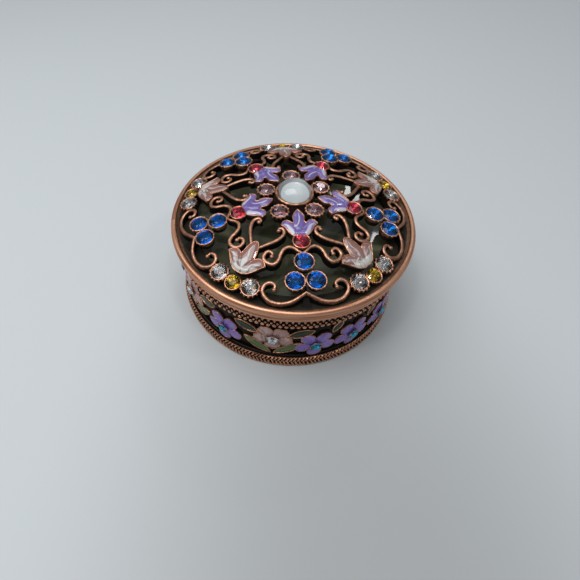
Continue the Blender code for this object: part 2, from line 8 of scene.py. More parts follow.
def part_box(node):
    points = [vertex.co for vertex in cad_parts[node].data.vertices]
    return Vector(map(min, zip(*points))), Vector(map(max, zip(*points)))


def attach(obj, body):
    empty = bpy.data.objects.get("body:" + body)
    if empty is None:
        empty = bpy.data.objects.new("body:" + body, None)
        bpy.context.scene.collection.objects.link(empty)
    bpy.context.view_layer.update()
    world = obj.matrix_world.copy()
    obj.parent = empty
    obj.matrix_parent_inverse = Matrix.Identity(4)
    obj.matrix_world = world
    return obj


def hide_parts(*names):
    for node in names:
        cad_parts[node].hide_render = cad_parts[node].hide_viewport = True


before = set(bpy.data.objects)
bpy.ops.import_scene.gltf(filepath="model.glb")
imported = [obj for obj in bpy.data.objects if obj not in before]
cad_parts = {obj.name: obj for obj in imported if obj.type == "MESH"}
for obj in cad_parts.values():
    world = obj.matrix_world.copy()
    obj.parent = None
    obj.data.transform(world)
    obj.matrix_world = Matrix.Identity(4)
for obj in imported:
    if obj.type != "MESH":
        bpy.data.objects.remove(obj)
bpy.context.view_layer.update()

# Dressing for the jeweled trinket box. Lengths are in metres, and mm turns millimetres into them.
# The lid's pattern repeats five times: a tulip axis points towards -Y, and a lily axis lies
# midway between two tulip axes. A lobe point is (sideways from its axis, outwards).
mm = 0.001
cm = 0.01
boxLow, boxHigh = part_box("box")
lidLow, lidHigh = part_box("lid")
cabLow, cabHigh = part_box("cabochon")
lobeCount = 5
tulipStart = 270.0
lilyStart = 306.0
seatGap = 0.3 * mm
lidRadius = lidHigh.x
lidBase = boxHigh.z + seatGap
rimPlane = lidBase + 3.4 * mm  # height of the roll's widest circle
footProud = 1.8 * mm
wallRadius = boxHigh.x - footProud
dome = {"radius": lidRadius - 1.5 * mm, "rise": 8.7 * mm, "power": 0.8}


def pickOnly(*items):
    bpy.ops.object.select_all(action="DESELECT")
    for item in items:
        item.select_set(True)
    bpy.context.view_layer.objects.active = items[0]


def startFrom(primitive, **settings):
    bpy.ops.object.select_all(action="DESELECT")
    primitive(**settings)
    return bpy.context.object


def joinPieces(items, name):
    pickOnly(*items)
    bpy.ops.object.join()
    joined = bpy.context.object
    joined.name = joined.data.name = name
    return joined


def copyPiece(item, name, place):
    twin = item.copy()
    twin.data = item.data.copy()
    twin.name = name
    bpy.context.scene.collection.objects.link(twin)
    twin.data.transform(place)
    return twin


def joinCopies(master, name, places):
    copies = [copyPiece(master, name, place) for place in places]
    bpy.data.objects.remove(master)
    return joinPieces(copies, name)


def editWhole(item, *steps):
    # each step is a mesh operator and its settings, used on the whole mesh
    pickOnly(item)
    bpy.ops.object.mode_set(mode="EDIT")
    for operator, settings in steps:
        bpy.ops.mesh.select_all(action="SELECT")
        operator(**settings)
    bpy.ops.object.mode_set(mode="OBJECT")


weld = (bpy.ops.mesh.remove_doubles, {"threshold": 0.002 * mm})
faceOutwards = (bpy.ops.mesh.normals_make_consistent, {"inside": False})


def pushDown(depth):
    move = {"value": (0.0, 0.0, -depth)}
    return bpy.ops.mesh.extrude_region_move, {"TRANSFORM_OT_translate": move}


def applyModifier(item, kind, **settings):
    modifier = item.modifiers.new("shaping", kind)
    for key, value in settings.items():
        setattr(modifier, key, value)
    pickOnly(item)
    bpy.ops.object.modifier_apply(modifier="shaping")


def smoothByAngle(item, degrees):
    pickOnly(item)
    bpy.ops.object.shade_smooth_by_angle(angle=math.radians(degrees))


def paint(item, *materials):
    item.data.materials.clear()
    for material in materials:
        item.data.materials.append(material)


def paintFaces(item, index, test):
    for face in item.data.polygons:
        if test(face):
            face.material_index = index


def markCorners(item, name, measure):
    # an attribute from 0 to 1 for the materials; relief is 1 on high, rubbed metal and 0 down
    # in the dark recesses, and streak is 1 on the pale lines of an enamel
    layer = item.data.attributes.new(name, "FLOAT", "POINT")
    for corner, spot in zip(item.data.vertices, layer.data):
        spot.value = max(0.0, min(1.0, measure(corner.co)))


def finishPiece(item, *replaced, slotName="antique_copper"):
    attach(item, "root")
    if replaced:
        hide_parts(*replaced)


def finishMetal(item, copper, degrees, relief):
    paint(item, copper)
    markCorners(item, "relief", relief)
    smoothByAngle(item, degrees)
    finishPiece(item)


def flatReach(point):
    return math.hypot(point.x, point.y)


def domeHeight(radius):
    share = min(radius / dome["radius"], 1.0)
    return rimPlane + dome["rise"] * (1.0 - share * share) ** dome["power"]


def belowDome(point):
    return domeHeight(flatReach(point)) - point.z


def domeFall(radius):
    step = 0.1 * mm
    return (domeHeight(radius - step) - domeHeight(radius + step)) / (2 * step)


def lobeDirections(start):
    return [math.radians(start + 360.0 * lobe / lobeCount) for lobe in range(lobeCount)]


def lobePoint(across, out, direction, lift=0.0):
    ahead = Vector((math.cos(direction), math.sin(direction), 0.0))
    side = Vector((math.sin(direction), -math.cos(direction), 0.0))
    point = ahead * out + side * across
    point.z = domeHeight(math.hypot(across, out)) + lift
    return point


def lobePlace(out, height, tilt, direction):
    turn = Matrix.Rotation(direction - math.pi / 2, 4, "Z")
    return turn @ Matrix.Translation((0.0, out, height)) @ Matrix.Rotation(-tilt, 4, "X")


def smoothStretch(points, steps):
    # a soft curve through points, as a list of vectors
    padded = [points[0] * 2 - points[1]] + points + [points[-1] * 2 - points[-2]]
    curve = []
    for before, here, there, after in zip(padded, padded[1:], padded[2:], padded[3:]):
        for step in range(steps):
            way = step / steps
            curve.append((here * 2 + (there - before) * way
                          + (before * 2 - here * 5 + there * 4 - after) * way * way
                          + (here * 3 - before - there * 3 + after) * way * way * way) * 0.5)
    curve.append(points[-1])
    return curve


def smoothOutline(points, steps):
    # points are (x, y, corner) in mm; the loop stays sharp at its corners, the first one too
    stretch = []
    outline = []
    for x, y, corner in points + points[:1]:
        stretch.append(Vector((x * mm, y * mm)))
        if corner and len(stretch) > 1:
            outline += smoothStretch(stretch, steps)[:-1]
            stretch = stretch[-1:]
    return outline


def arcPoints(centreR, centreZ, radiusR, radiusZ, start, end, steps):
    angles = [math.radians(start + (end - start) * step / steps) for step in range(steps + 1)]
    return [(centreR + radiusR * math.cos(angle), centreZ + radiusZ * math.sin(angle))
            for angle in angles]


def distanceToLine(point, start, end):
    along = end - start
    share = (point - start).dot(along) / max(along.length_squared, 1e-18)
    return (point - start - along * max(0.0, min(1.0, share))).length


def nearLine(point, start, end, wide):
    # 1 on the line, fading softly to both sides
    return math.exp(-(distanceToLine(point, start, end) / wide) ** 2)


def turnProfile(name, profile, steps, closed=True):
    # a ring of points is laid out as the profile and spun round the Z axis
    piece = startFrom(bpy.ops.mesh.primitive_circle_add, vertices=len(profile), radius=mm,
                      fill_type="NOTHING")
    piece.name = name
    for corner, (radius, height) in zip(piece.data.vertices, profile):
        corner.co = (radius, 0.0, height)
    if not closed:
        shape = bmesh.new()
        shape.from_mesh(piece.data)
        shape.verts.ensure_lookup_table()
        shape.edges.remove(shape.edges.get((shape.verts[0], shape.verts[-1])))
        shape.to_mesh(piece.data)
        shape.free()
    spin = {"steps": steps, "angle": 2 * math.pi, "center": (0.0, 0.0, 0.0),
            "axis": (0.0, 0.0, 1.0)}
    editWhole(piece, (bpy.ops.mesh.spin, spin), weld, faceOutwards)
    return piece


def newCurve(name, points, closed, dimensions="3D"):
    curve = bpy.data.curves.new(name, "CURVE")
    curve.dimensions = dimensions
    line = curve.splines.new("POLY")
    line.points.add(len(points) - 1)
    line.use_cyclic_u = closed
    for spot, point in zip(line.points, points):
        spot.co = (*point, 1.0)
    item = bpy.data.objects.new(name, curve)
    bpy.context.scene.collection.objects.link(item)
    return item


def convertWire(item):
    pickOnly(item)
    bpy.ops.object.convert(target="MESH")
    wire = bpy.context.object
    editWhole(wire, weld, faceOutwards)
    return wire


def closedWire(name, points, radius, sides):
    # a round wire through 3D points, closed to a ring
    item = newCurve(name, points, True)
    item.data.twist_mode = "Z_UP"
    item.data.bevel_depth = radius
    item.data.bevel_resolution = sides
    return convertWire(item)


def sweptStrip(name, points, section, ends):
    # a strip of the given section along 3D points, narrower towards both ends
    item = newCurve(name, points, False)
    item.data.twist_mode = "Z_UP"
    item.data.use_fill_caps = True
    item.data.bevel_mode = "OBJECT"
    item.data.bevel_object = section
    last = len(points) - 1
    for number, spot in enumerate(item.data.splines[0].points):
        share = min(number, last - number) / ends["length"]
        spot.radius = min(1.0, ends["share"] + (1.0 - ends["share"]) * share)
    return convertWire(item)


def setInputs(node, inputs):
    # an output is linked to its input, a plain value is set on it, and a colour is made opaque
    for key, value in inputs.items():
        socket = node.inputs[key]
        if isinstance(value, bpy.types.NodeSocket):
            node.id_data.links.new(value, socket)
        else:
            socket.default_value = (*value, 1.0) if socket.type == "RGBA" else value


def addNode(tree, kind, inputs, **settings):
    # gives back the node's outputs
    made = tree.nodes.new(kind)
    for key, value in settings.items():
        setattr(made, key, value)
    setInputs(made, inputs)
    return made.outputs


def coordinates(tree, kind="Object"):
    return addNode(tree, "ShaderNodeTexCoord", {})[kind]


def attributeOf(tree, name):
    return addNode(tree, "ShaderNodeAttribute", {}, attribute_name=name)["Fac"]


def noiseOf(tree, place, size, **values):
    return addNode(tree, "ShaderNodeTexNoise", {"Vector": place, "Scale": size, **values})[0]


def mappingOf(tree, place, **values):
    return addNode(tree, "ShaderNodeMapping", {"Vector": place, **values})[0]


def mathOf(tree, operation, first, second=0.0, third=0.0):
    inputs = {0: first, 1: second, 2: third}
    return addNode(tree, "ShaderNodeMath", inputs, operation=operation)[0]


def scaled(tree, value, factor, shift=0.0):
    return mathOf(tree, "MULTIPLY_ADD", value, factor, shift)


def vectorMath(tree, operation, *inputs):
    return addNode(tree, "ShaderNodeVectorMath", dict(enumerate(inputs)), operation=operation)


def maskOf(tree, value, low, high):
    return addNode(tree, "ShaderNodeMapRange", {"Value": value, "From Min": low, "From Max": high},
                   interpolation_type="SMOOTHSTEP")["Result"]


def blendOf(tree, factor, first, second):
    return addNode(tree, "ShaderNodeMix", {0: factor, 6: first, 7: second}, data_type="RGBA")[2]


def reachFrom(tree, shift=(0.0, 0.0, 0.0), stretch=(1.0, 1.0, 0.0)):
    # distance from the upright axis, which may be shifted and stretched
    flat = mappingOf(tree, coordinates(tree), Location=shift, Scale=stretch)
    return vectorMath(tree, "LENGTH", flat)["Value"]


def newGroup(name, inputs, outputs):
    group = bpy.data.node_groups.new(name, "ShaderNodeTree")
    for label, value in inputs.items():
        made = group.interface.new_socket(label, in_out="INPUT", socket_type="NodeSocketFloat")
        made.default_value = value
    for label in outputs:
        group.interface.new_socket(label, in_out="OUTPUT", socket_type="NodeSocketFloat")
    return group, group.nodes.new("NodeGroupInput").outputs, group.nodes.new("NodeGroupOutput")


def useGroup(tree, group, inputs):
    return addNode(tree, "ShaderNodeGroup", inputs, node_tree=group)


def newMaterial(name, values):
    material = bpy.data.materials.new(name)
    material.use_nodes = True
    shader = material.node_tree.nodes["Principled BSDF"]
    setInputs(shader, values)
    return material, material.node_tree, shader


def addBump(shader, height, strength, depth):
    bump = addNode(shader.id_data, "ShaderNodeBump",
                   {"Height": height, "Strength": strength, "Distance": depth})
    setInputs(shader, {"Normal": bump[0]})


print("node groups")
patinaLook = {"broadSize": 160.0, "fineShare": 0.6, "broadShare": 0.4}
swirlLook = {"wanderSize": 170.0, "drawn": (1.0, 0.35, 1.0), "edge": (0.38, 0.62),
             "vein": (0.008, 0.04)}


def makePatinaGroup(look):
    # where the metal is rubbed bright: high places first, with an uneven edge
    group, given, result = newGroup(
        "patina", {"Relief": 1.0, "Level": 0.5, "Softness": 0.2, "Size": 900.0,
                   "Unevenness": 0.4}, ("Polish", "Grain"))
    place = coordinates(group)
    fine = noiseOf(group, place, given["Size"], Detail=4.0, Roughness=0.6)
    broad = noiseOf(group, place, look["broadSize"])
    centred = scaled(group, fine, look["fineShare"], scaled(group, broad, look["broadShare"], -0.5))
    height = scaled(group, centred, given["Unevenness"], given["Relief"])
    low = mathOf(group, "SUBTRACT", given["Level"], given["Softness"])
    high = mathOf(group, "ADD", given["Level"], given["Softness"])
    setInputs(result, {"Polish": maskOf(group, height, low, high), "Grain": fine})
    return group


def makeRingBrushGroup():
    # fine lines that run round the axis, as a turned or rubbed ring has
    group, given, result = newGroup("ring brush", {"Length": 0.0014, "Size": 1500.0}, ("Lines",))
    parts = addNode(group, "ShaderNodeSeparateXYZ", {0: coordinates(group)})
    around = scaled(group, mathOf(group, "ARCTAN2", parts["Y"], parts["X"]), given["Length"])
    line = addNode(group, "ShaderNodeCombineXYZ", {0: around, 1: reachFrom(group), 2: parts["Z"]})
    setInputs(result, {"Lines": noiseOf(group, line[0], given["Size"], Detail=3.0)})
    return group


def makeSwirlGroup(look):
    # drawn-out swirls of two enamels, on the petal's own map (in cm)
    group, given, result = newGroup("enamel swirl", {"Size": 3.0, "Bend": 0.6}, ("Swirl", "Vein"))
    wander = addNode(group, "ShaderNodeTexNoise", {"Vector": coordinates(group),
                                                   "Scale": look["wanderSize"], "Detail": 1.0})
    bent = vectorMath(group, "MULTIPLY_ADD", wander["Color"], given["Bend"],
                      coordinates(group, "UV"))[0]
    swirl = noiseOf(group, mappingOf(group, bent, Scale=look["drawn"]), given["Size"],
                    Detail=1.5, Distortion=0.8)
    centred = mathOf(group, "ABSOLUTE", mathOf(group, "SUBTRACT", swirl, 0.5))
    vein = mathOf(group, "SUBTRACT", 1.0, maskOf(group, centred, *look["vein"]))
    setInputs(result, {"Swirl": maskOf(group, swirl, *look["edge"]), "Vein": vein})
    return group


patina = makePatinaGroup(patinaLook)
ringBrush = makeRingBrushGroup()
enamelSwirl = makeSwirlGroup(swirlLook)

print("metal finishes")
metal = {
    "copper": (0.84, 0.43, 0.26),
    "copperShade": (0.50, 0.205, 0.118),
    "scrollCopper": (0.58, 0.315, 0.205),
    "scrollShade": (0.31, 0.140, 0.088),
    "rimBright": (0.71, 0.375, 0.235),
    "rimShade": (0.40, 0.175, 0.105),
    "patinaBrown": (0.030, 0.018, 0.013),
    "rimDark": (0.020, 0.017, 0.012),
    "bandDark": (0.012, 0.008, 0.006),
    "black": (0.007, 0.006, 0.005),
}
copperWear = {"gloss": 0.10, "grain": (0.30, 0.70), "lines": (0.32, 0.60), "metallic": 0.2,
              "metallicGain": 0.75, "polishing": 0.23, "toneGloss": 0.06, "bump": 0.45,
              "bumpDepth": 0.05 * mm}


def makeCopper(name, level, softness, dark, size=900.0, uneven=0.4, brushed=False,
               dullness=0.52, shade="copperShade", bright="copper"):
    look = copperWear
    material, tree, shader = newMaterial(name, {"Specular IOR Level": look["gloss"]})
    worn = useGroup(tree, patina, {"Relief": attributeOf(tree, "relief"), "Level": level,
                                   "Softness": softness, "Size": size, "Unevenness": uneven})
    polish = worn["Polish"]
    marks = useGroup(tree, ringBrush, {})["Lines"] if brushed else worn["Grain"]
    tone = maskOf(tree, marks, *look["lines" if brushed else "grain"])
    rubbed = blendOf(tree, tone, metal[shade], metal[bright])
    rough = scaled(tree, polish, -look["polishing"], dullness)
    setInputs(shader, {"Base Color": blendOf(tree, polish, metal[dark], rubbed),
                       "Metallic": scaled(tree, polish, look["metallicGain"], look["metallic"]),
                       "Roughness": scaled(tree, tone, -look["toneGloss"], rough)})
    addBump(shader, marks, look["bump"], look["bumpDepth"])
    return material


rubbedCopper = makeCopper("rubbed copper", 0.69, 0.22, "patinaBrown", uneven=0.6, dullness=0.58,
                          shade="scrollShade")
rimCopper = makeCopper("rim copper", 0.50, 0.25, "rimDark", uneven=0.45, brushed=True,
                       dullness=0.72, shade="rimShade", bright="rimBright")
deepCopper = makeCopper("deep copper", 0.68, 0.20, "black", uneven=0.55, dullness=0.68,
                        shade="scrollShade", bright="scrollCopper")
bandCopper = makeCopper("band copper", 0.74, 0.20, "bandDark", size=1300.0, uneven=0.9)
innerCopper = makeCopper("inner copper", 0.15, 0.30, "patinaBrown", size=500.0)

print("lacquer and dark glass")
lacquerLook = {
    "shader": {"Specular IOR Level": 0.03, "Specular Tint": (1.0, 0.86, 0.68)},
    "ground": (0.0062, 0.0052, 0.0040), "smoke": (0.01364, 0.01144, 0.0088),
    "turn": 0.0, "stretch": 1.0, "size": 220.0, "noise": {"Detail": 3.0, "Distortion": 0.6},
    "edge": (0.52, 0.75), "roughness": 0.14, "dulling": 0.20}
paneLook = {
    "shader": {}, "ground": (0.058, 0.058, 0.035), "smoke": (0.120, 0.125, 0.080),
    "turn": 0.6, "stretch": 2.2, "size": 62.0,
    "noise": {"Detail": 3.0, "Roughness": 0.45, "Distortion": 1.2},
    "edge": (0.46, 0.66), "roughness": 0.04, "dulling": 0.12}


def makeSmoky(name, look):
    # a glossy dark ground with soft, paler and duller smoke, which may be drawn out
    material, tree, shader = newMaterial(name, look["shader"])
    drawn = mappingOf(tree, coordinates(tree), Rotation=(0.0, 0.0, look["turn"]),
                      Scale=(1.0, look["stretch"], 1.0))
    mask = maskOf(tree, noiseOf(tree, drawn, look["size"], **look["noise"]), *look["edge"])
    setInputs(shader, {"Base Color": blendOf(tree, mask, look["ground"], look["smoke"]),
                       "Roughness": scaled(tree, mask, look["dulling"], look["roughness"])})
    return material


wallBlack = makeSmoky("black lacquer", lacquerLook)
paneGlass = makeSmoky("dark pane glass", paneLook)
paint(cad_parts["pane"], paneGlass)

print("enamels")
plainEnamel = {"size": 2.6, "bend": 0.7, "paleShare": 0.6, "veinShare": 0.5, "coat": 0.3,
               "gloss": 0.5, "rippleSize": 420.0, "ripple": 0.25, "rippleDepth": 0.08 * mm}
footLook = {"middle": 0.02, "blur": 0.07, "drift": 0.30, "streakEdge": (0.45, 0.85)}


def mixFoot(tree, swirl, tone, look):
    # a second, pale enamel: towards the petal's foot, where its map rises, and along its streaks
    parts = addNode(tree, "ShaderNodeSeparateXYZ", {0: coordinates(tree, "UV")})
    across = mathOf(tree, "ABSOLUTE", mathOf(tree, "SUBTRACT", parts["X"], footLook["middle"]))
    reach = scaled(tree, across, -look["wedge"], parts["Y"])
    reach = scaled(tree, swirl, look["wobble"], reach)
    foot = maskOf(tree, reach, look["footStart"], look["footStart"] + footLook["blur"])
    uneven = scaled(tree, swirl, footLook["drift"], attributeOf(tree, "streak"))
    line = scaled(tree, maskOf(tree, uneven, *footLook["streakEdge"]), look["streakShare"])
    return blendOf(tree, mathOf(tree, "MAXIMUM", foot, line), tone, look["foot"])


def makeEnamel(name, **changes):
    # one enamel with paler swirls and fine veins, glossy and slightly uneven
    look = dict(plainEnamel, **changes)
    material, tree, shader = newMaterial(name, {
        "Roughness": 0.12, "Coat Weight": look["coat"], "Specular IOR Level": look["gloss"],
        "Coat Roughness": 0.04})
    marks = useGroup(tree, enamelSwirl, {"Size": look["size"], "Bend": look["bend"]})
    pale = scaled(tree, marks["Swirl"], look["paleShare"])
    tone = blendOf(tree, pale, look["body"], look["pale"])
    if "foot" in look:
        tone = mixFoot(tree, marks["Swirl"], tone, look)
    vein = scaled(tree, marks["Vein"], look["veinShare"])
    setInputs(shader, {"Base Color": blendOf(tree, vein, tone, look["vein"])})
    addBump(shader, noiseOf(tree, coordinates(tree), look["rippleSize"]), look["ripple"],
            look["rippleDepth"])
    return material


lavenderEnamel = makeEnamel(
    "lavender enamel", body=(0.130, 0.088, 0.290), pale=(0.20, 0.145, 0.38),
    vein=(0.40, 0.35, 0.56), foot=(0.52, 0.50, 0.54), size=2.8, veinShare=0.3,
    footStart=0.40, wedge=-0.25, wobble=-0.06, streakShare=0.85)
lilyEnamel = makeEnamel(
    "lily enamel", body=(0.235, 0.112, 0.096), pale=(0.34, 0.20, 0.175),
    vein=(0.15, 0.060, 0.050), foot=(0.44, 0.425, 0.40), size=3.4, bend=0.9,
    veinShare=0.80, footStart=0.22, wedge=0.30, wobble=0.20, streakShare=0.9)
violetEnamel = makeEnamel(
    "violet enamel", body=(0.165, 0.090, 0.400), pale=(0.28, 0.19, 0.57),
    vein=(0.10, 0.05, 0.26), size=2.4)
mauveEnamel = makeEnamel(
    "mauve enamel", body=(0.39, 0.205, 0.180), pale=(0.58, 0.39, 0.36),
    vein=(0.12, 0.05, 0.045), size=3.4)
leafEnamel = makeEnamel(
    "leaf green enamel", body=(0.060, 0.118, 0.018), pale=(0.12, 0.19, 0.040),
    vein=(0.02, 0.04, 0.012), coat=0.1, gloss=0.3)
# painted shade: a darker copy of the leaf enamel, for the upper leaves that sit in the shadow under
# the lid's rim
shadedLeafEnamel = makeEnamel(
    "leaf enamel in painted shade", body=(0.014, 0.024, 0.006), pale=(0.030, 0.044, 0.015),
    vein=(0.003, 0.007, 0.004), coat=0.05, gloss=0.15)

print("glass")
glassLook = {
    "amethyst": (0.62, 0.40, 0.44),
    "red": (0.82, 0.07, 0.13),
    "blue": (0.002, 0.25, 0.62),
    "yellow": (0.74, 0.52, 0.035),
    "clear": (0.97, 0.97, 0.98),
    "aqua": (0.004, 0.50, 0.78),
}
foilLook = {
    "amethyst": (0.72, 0.66, 0.67),
    "red": (0.88, 0.68, 0.70),
    "blue": (0.36, 0.62, 0.90),
    "yellow": (0.78, 0.72, 0.42),
    "clear": (0.62, 0.60, 0.59),
    "aqua": (0.80, 0.96, 0.98),
    # painted light: a brighter copy of the clear foil for the side stones, which face the dim sides
    # of the room
    "side_clear": (0.97, 0.97, 0.98),
}
crumple = {"size": 1400.0, "edge": (0.35, 0.65), "fold": 0.86, "bump": 0.1, "depth": 0.02 * mm}
backingLook = {"disc": (0.80, 0.88, 0.89), "cloud": (0.92, 0.97, 0.97),
               "cloudSize": 260.0, "cloudEdge": (0.3, 0.7), "ring": (0.34, 0.36, 0.365),
               "edge": 2.92 * mm, "blur": 0.15 * mm, "reflectionForward": 0.70 * mm}


def makeCrystal(name, tint):
    # the sky's reflection in the facets takes on half of the stone's own colour
    sheen = [0.5 + 0.5 * part for part in tint]
    return newMaterial(name, {"Base Color": tint, "Roughness": 0.015, "IOR": 1.57,
                              "Transmission Weight": 1.0, "Specular Tint": sheen})[0]


def makeFoil(name, tint):
    # the bright backing behind a stone, slightly crumpled
    material, tree, shader = newMaterial(name, {"Metallic": 1.0, "Roughness": 0.16})
    folds = noiseOf(tree, coordinates(tree), crumple["size"])
    folded = [part * crumple["fold"] for part in tint]
    mask = maskOf(tree, folds, *crumple["edge"])
    setInputs(shader, {"Base Color": blendOf(tree, mask, tint, folded)})
    addBump(shader, folds, crumple["bump"], crumple["depth"])
    return material


def makeBackingWithReflection(look):
    # the pale disc behind the large cabochon, with a grey ring round it; the ring is a painted
    # reflection, set off-centre towards the front, standing in for the dark crescent that the dome
    # shows along its edge
    material, tree, shader = newMaterial("satin backing with painted reflection", {"Metallic": 0.2, "Roughness": 0.35})
    cloud = noiseOf(tree, coordinates(tree), look["cloudSize"])
    disc = blendOf(tree, maskOf(tree, cloud, *look["cloudEdge"]), look["disc"], look["cloud"])
    # painted reflection: the grey ring is centred a little towards the front
    reach = reachFrom(tree, shift=(0.0, look["reflectionForward"], 0.0))
    ring = maskOf(tree, reach, look["edge"], look["edge"] + look["blur"])
    setInputs(shader, {"Base Color": blendOf(tree, ring, disc, look["ring"])})
    return material


crystals = {name: makeCrystal(name + " crystal", tint) for name, tint in glassLook.items()}
foils = {name: makeFoil(name + " foil", tint) for name, tint in foilLook.items()}
backingWithReflection = makeBackingWithReflection(backingLook)

print("box body")
boxBody = {
    "steps": 192, "wall": 1.8 * mm, "floor": 2.0 * mm, "fillet": 0.8 * mm, "lip": 0.3 * mm,
    "edge": 0.4 * mm, "footTop": 4.0 * mm, "bandFoot": boxHigh.z - 4.5 * mm,
    # the ground of the bands, in mm outwards from the wall, down from the top or up from the foot
    "topBand": ((0.55, 0.8), (0.55, 4.15), (0.1, 4.5), (0.0, 4.6)), "topEdge": 0.8 * mm,
    "footBand": ((0.0, 4.1), (0.1, 4.0), (0.5, 3.9), (1.0, 0.5)), "footEdge": 0.9 * mm,
    "plainRelief": 0.75}


def makeBoxBody(look):
    cavity = wallRadius - look["wall"]
    fillet = look["fillet"]
    edge = look["edge"]
    top = boxHigh.z
    profile = [(0.0, look["floor"]), (cavity * 0.5, look["floor"])]
    profile += arcPoints(cavity - fillet, look["floor"] + fillet, fillet, fillet, -90.0, 0.0, 6)
    profile += [(cavity, top - look["lip"]), (cavity + look["lip"], top)]
    profile += arcPoints(wallRadius + look["topEdge"], top - edge, edge, edge, 90.0, 0.0, 4)
    profile += [(wallRadius + out * mm, top - down * mm) for out, down in look["topBand"]]
    profile += [(wallRadius + out * mm, up * mm) for out, up in look["footBand"]]
    profile += arcPoints(wallRadius + look["footEdge"], edge, edge, edge, 0.0, -90.0, 4)
    profile += [((wallRadius + 1.0 * mm) * 0.5, 0.0), (0.0, 0.0)]
    body = turnProfile("boxBody", profile, look["steps"], closed=False)
    paint(body, bandCopper, wallBlack, innerCopper)
    paintFaces(body, 2, lambda face: flatReach(face.center) < cavity + 0.2 * mm
               or face.center.z < 0.02 * mm)
    paintFaces(body, 1, lambda face: look["footTop"] < face.center.z < look["bandFoot"]
               and flatReach(face.center) > wallRadius - 0.3 * mm)
    markCorners(body, "relief", lambda point: look["plainRelief"]
                if flatReach(point) < cavity + 1.2 * mm or point.z > top - look["lip"] else 0.0)
    smoothByAngle(body, 40)
    finishPiece(body, "box")


makeBoxBody(boxBody)

print("plaited bands")
footPlait = {"low": 0.45 * mm, "high": 3.70 * mm, "radiusLow": wallRadius + 1.45 * mm,
             "radiusHigh": wallRadius + 0.95 * mm, "waves": 62, "samples": 16, "wire": 0.28 * mm,
             "weave": 0.30 * mm, "uneven": 0.10, "unevenPace": 0.29, "unevenShift": 1.7,
             "rail": 0.21 * mm, "railTwist": 0.126 * mm, "lowest": 0.12, "reliefDepth": 0.364 * mm}
bandReach = wallRadius + 0.72 * mm
bandBeads = {"count": 132, "widest": 2.2, "relief": 0.35, "reliefShare": 0.9}
bandRows = {
    # rows under the lid: height, half sizes in mm, turn as a share of one bead, pointed or not
    "drops": (boxHigh.z - 1.70 * mm, (0.62, 0.84, 1.35), 0.0, True),
    "smallBeads": (boxHigh.z - 2.75 * mm, (0.42, 0.38, 0.40), 0.5, False),
    "largeBeads": (boxHigh.z - 3.80 * mm, (0.52, 0.64, 0.56), 0.0, False),
}


def makePlait(look):
    # three wires woven over and under each other, between two twisted rails
    middle = (look["low"] + look["high"]) / 2
    swing = (look["high"] - look["low"]) / 2 - look["wire"]
    count = look["waves"] * look["samples"]
    wires = []

    def reachAt(height):
        share = (height - look["low"]) / (look["high"] - look["low"])
        return look["radiusLow"] + (look["radiusHigh"] - look["radiusLow"]) * share

    def runAround(heightAt, liftAt, wire):
        points = []
        for step in range(count):
            turn = 2 * math.pi * step / count
            height = heightAt(look["waves"] * turn)
            radius = reachAt(height) + liftAt(look["waves"] * turn)
            points.append((radius * math.cos(turn), radius * math.sin(turn), height))
        wires.append(closedWire("wire", points, wire, 1))

    for strand in range(3):
        shift = strand * 2 * math.pi / 3
        drift = look["unevenShift"] * strand
        runAround(lambda phase: middle + swing * math.sin(phase + shift)
                  * (1.0 + look["uneven"] * math.sin(look["unevenPace"] * phase + drift)),
                  lambda phase: look["weave"] * math.sin(2 * (phase + shift)), look["wire"])
    for edge in (look["low"], look["high"]):
        for half in (0.0, math.pi):
            runAround(lambda phase: edge + look["railTwist"] * math.sin(2 * phase + half),
                      lambda phase: look["railTwist"] * math.cos(2 * phase + half), look["rail"])
    finishMetal(joinPieces(wires, "footPlait"), bandCopper, 50, lambda point: look["lowest"]
                + (flatReach(point) - reachAt(point.z)) / look["reliefDepth"])


def copyAround(master, name, place, count, turn=0.0):
    # copies of one shape, set evenly round the Z axis
    spins = [Matrix.Rotation(2 * math.pi * (number + turn) / count, 4, "Z")
             for number in range(count)]
    return joinCopies(master, name, [spin @ place for spin in spins])


def makeBandRow(name, height, size, turn, pointed):
    # one bead is shaped and copied round the wall; a drop narrows to a point at its foot
    bead = startFrom(bpy.ops.mesh.primitive_uv_sphere_add, segments=8, ring_count=6, radius=mm)
    for corner in bead.data.vertices:
        spot = corner.co / mm
        wide = flatReach(spot)
        if pointed and wide > 0.01:
            spot *= min(bandBeads["widest"], (1.0 + spot.z) / 2 / wide)
            spot.z = corner.co.z / mm
        corner.co = Vector([part * half * mm for part, half in zip(spot, size)])
    row = copyAround(bead, name, Matrix.Translation((bandReach, 0.0, height)),
                     bandBeads["count"], turn)
    depth = size[0] * mm * bandBeads["reliefShare"]
    finishMetal(row, bandCopper, 60, lambda point:
                bandBeads["relief"] + (flatReach(point) - bandReach) / depth)


makePlait(footPlait)
for rowName, row in bandRows.items():
    makeBandRow(rowName, *row)

print("lid rim")
lidRim = {
    "steps": 192, "seat": lidRadius - 1.6 * mm, "rollFoot": 1.1 * mm, "rollFootLift": 0.25 * mm,
    "rollPlace": (lidRadius - 0.9 * mm, rimPlane - 0.3 * mm), "rollHalf": (0.9 * mm, 1.2 * mm),
    "beadPlace": (lidRadius - 1.0 * mm, lidBase + 0.9 * mm), "beadHalf": (0.55 * mm, 0.605 * mm),
    "ledgeOuter": lidRadius - 3.4 * mm, "ledgeInner": wallRadius - 4.1 * mm,
    "ledgeTop": rimPlane - 0.5 * mm, "ledgeUnder": rimPlane - 1.3 * mm,
    "flangeOuter": wallRadius - 2.1 * mm, "flangeInner": wallRadius - 3.1 * mm}


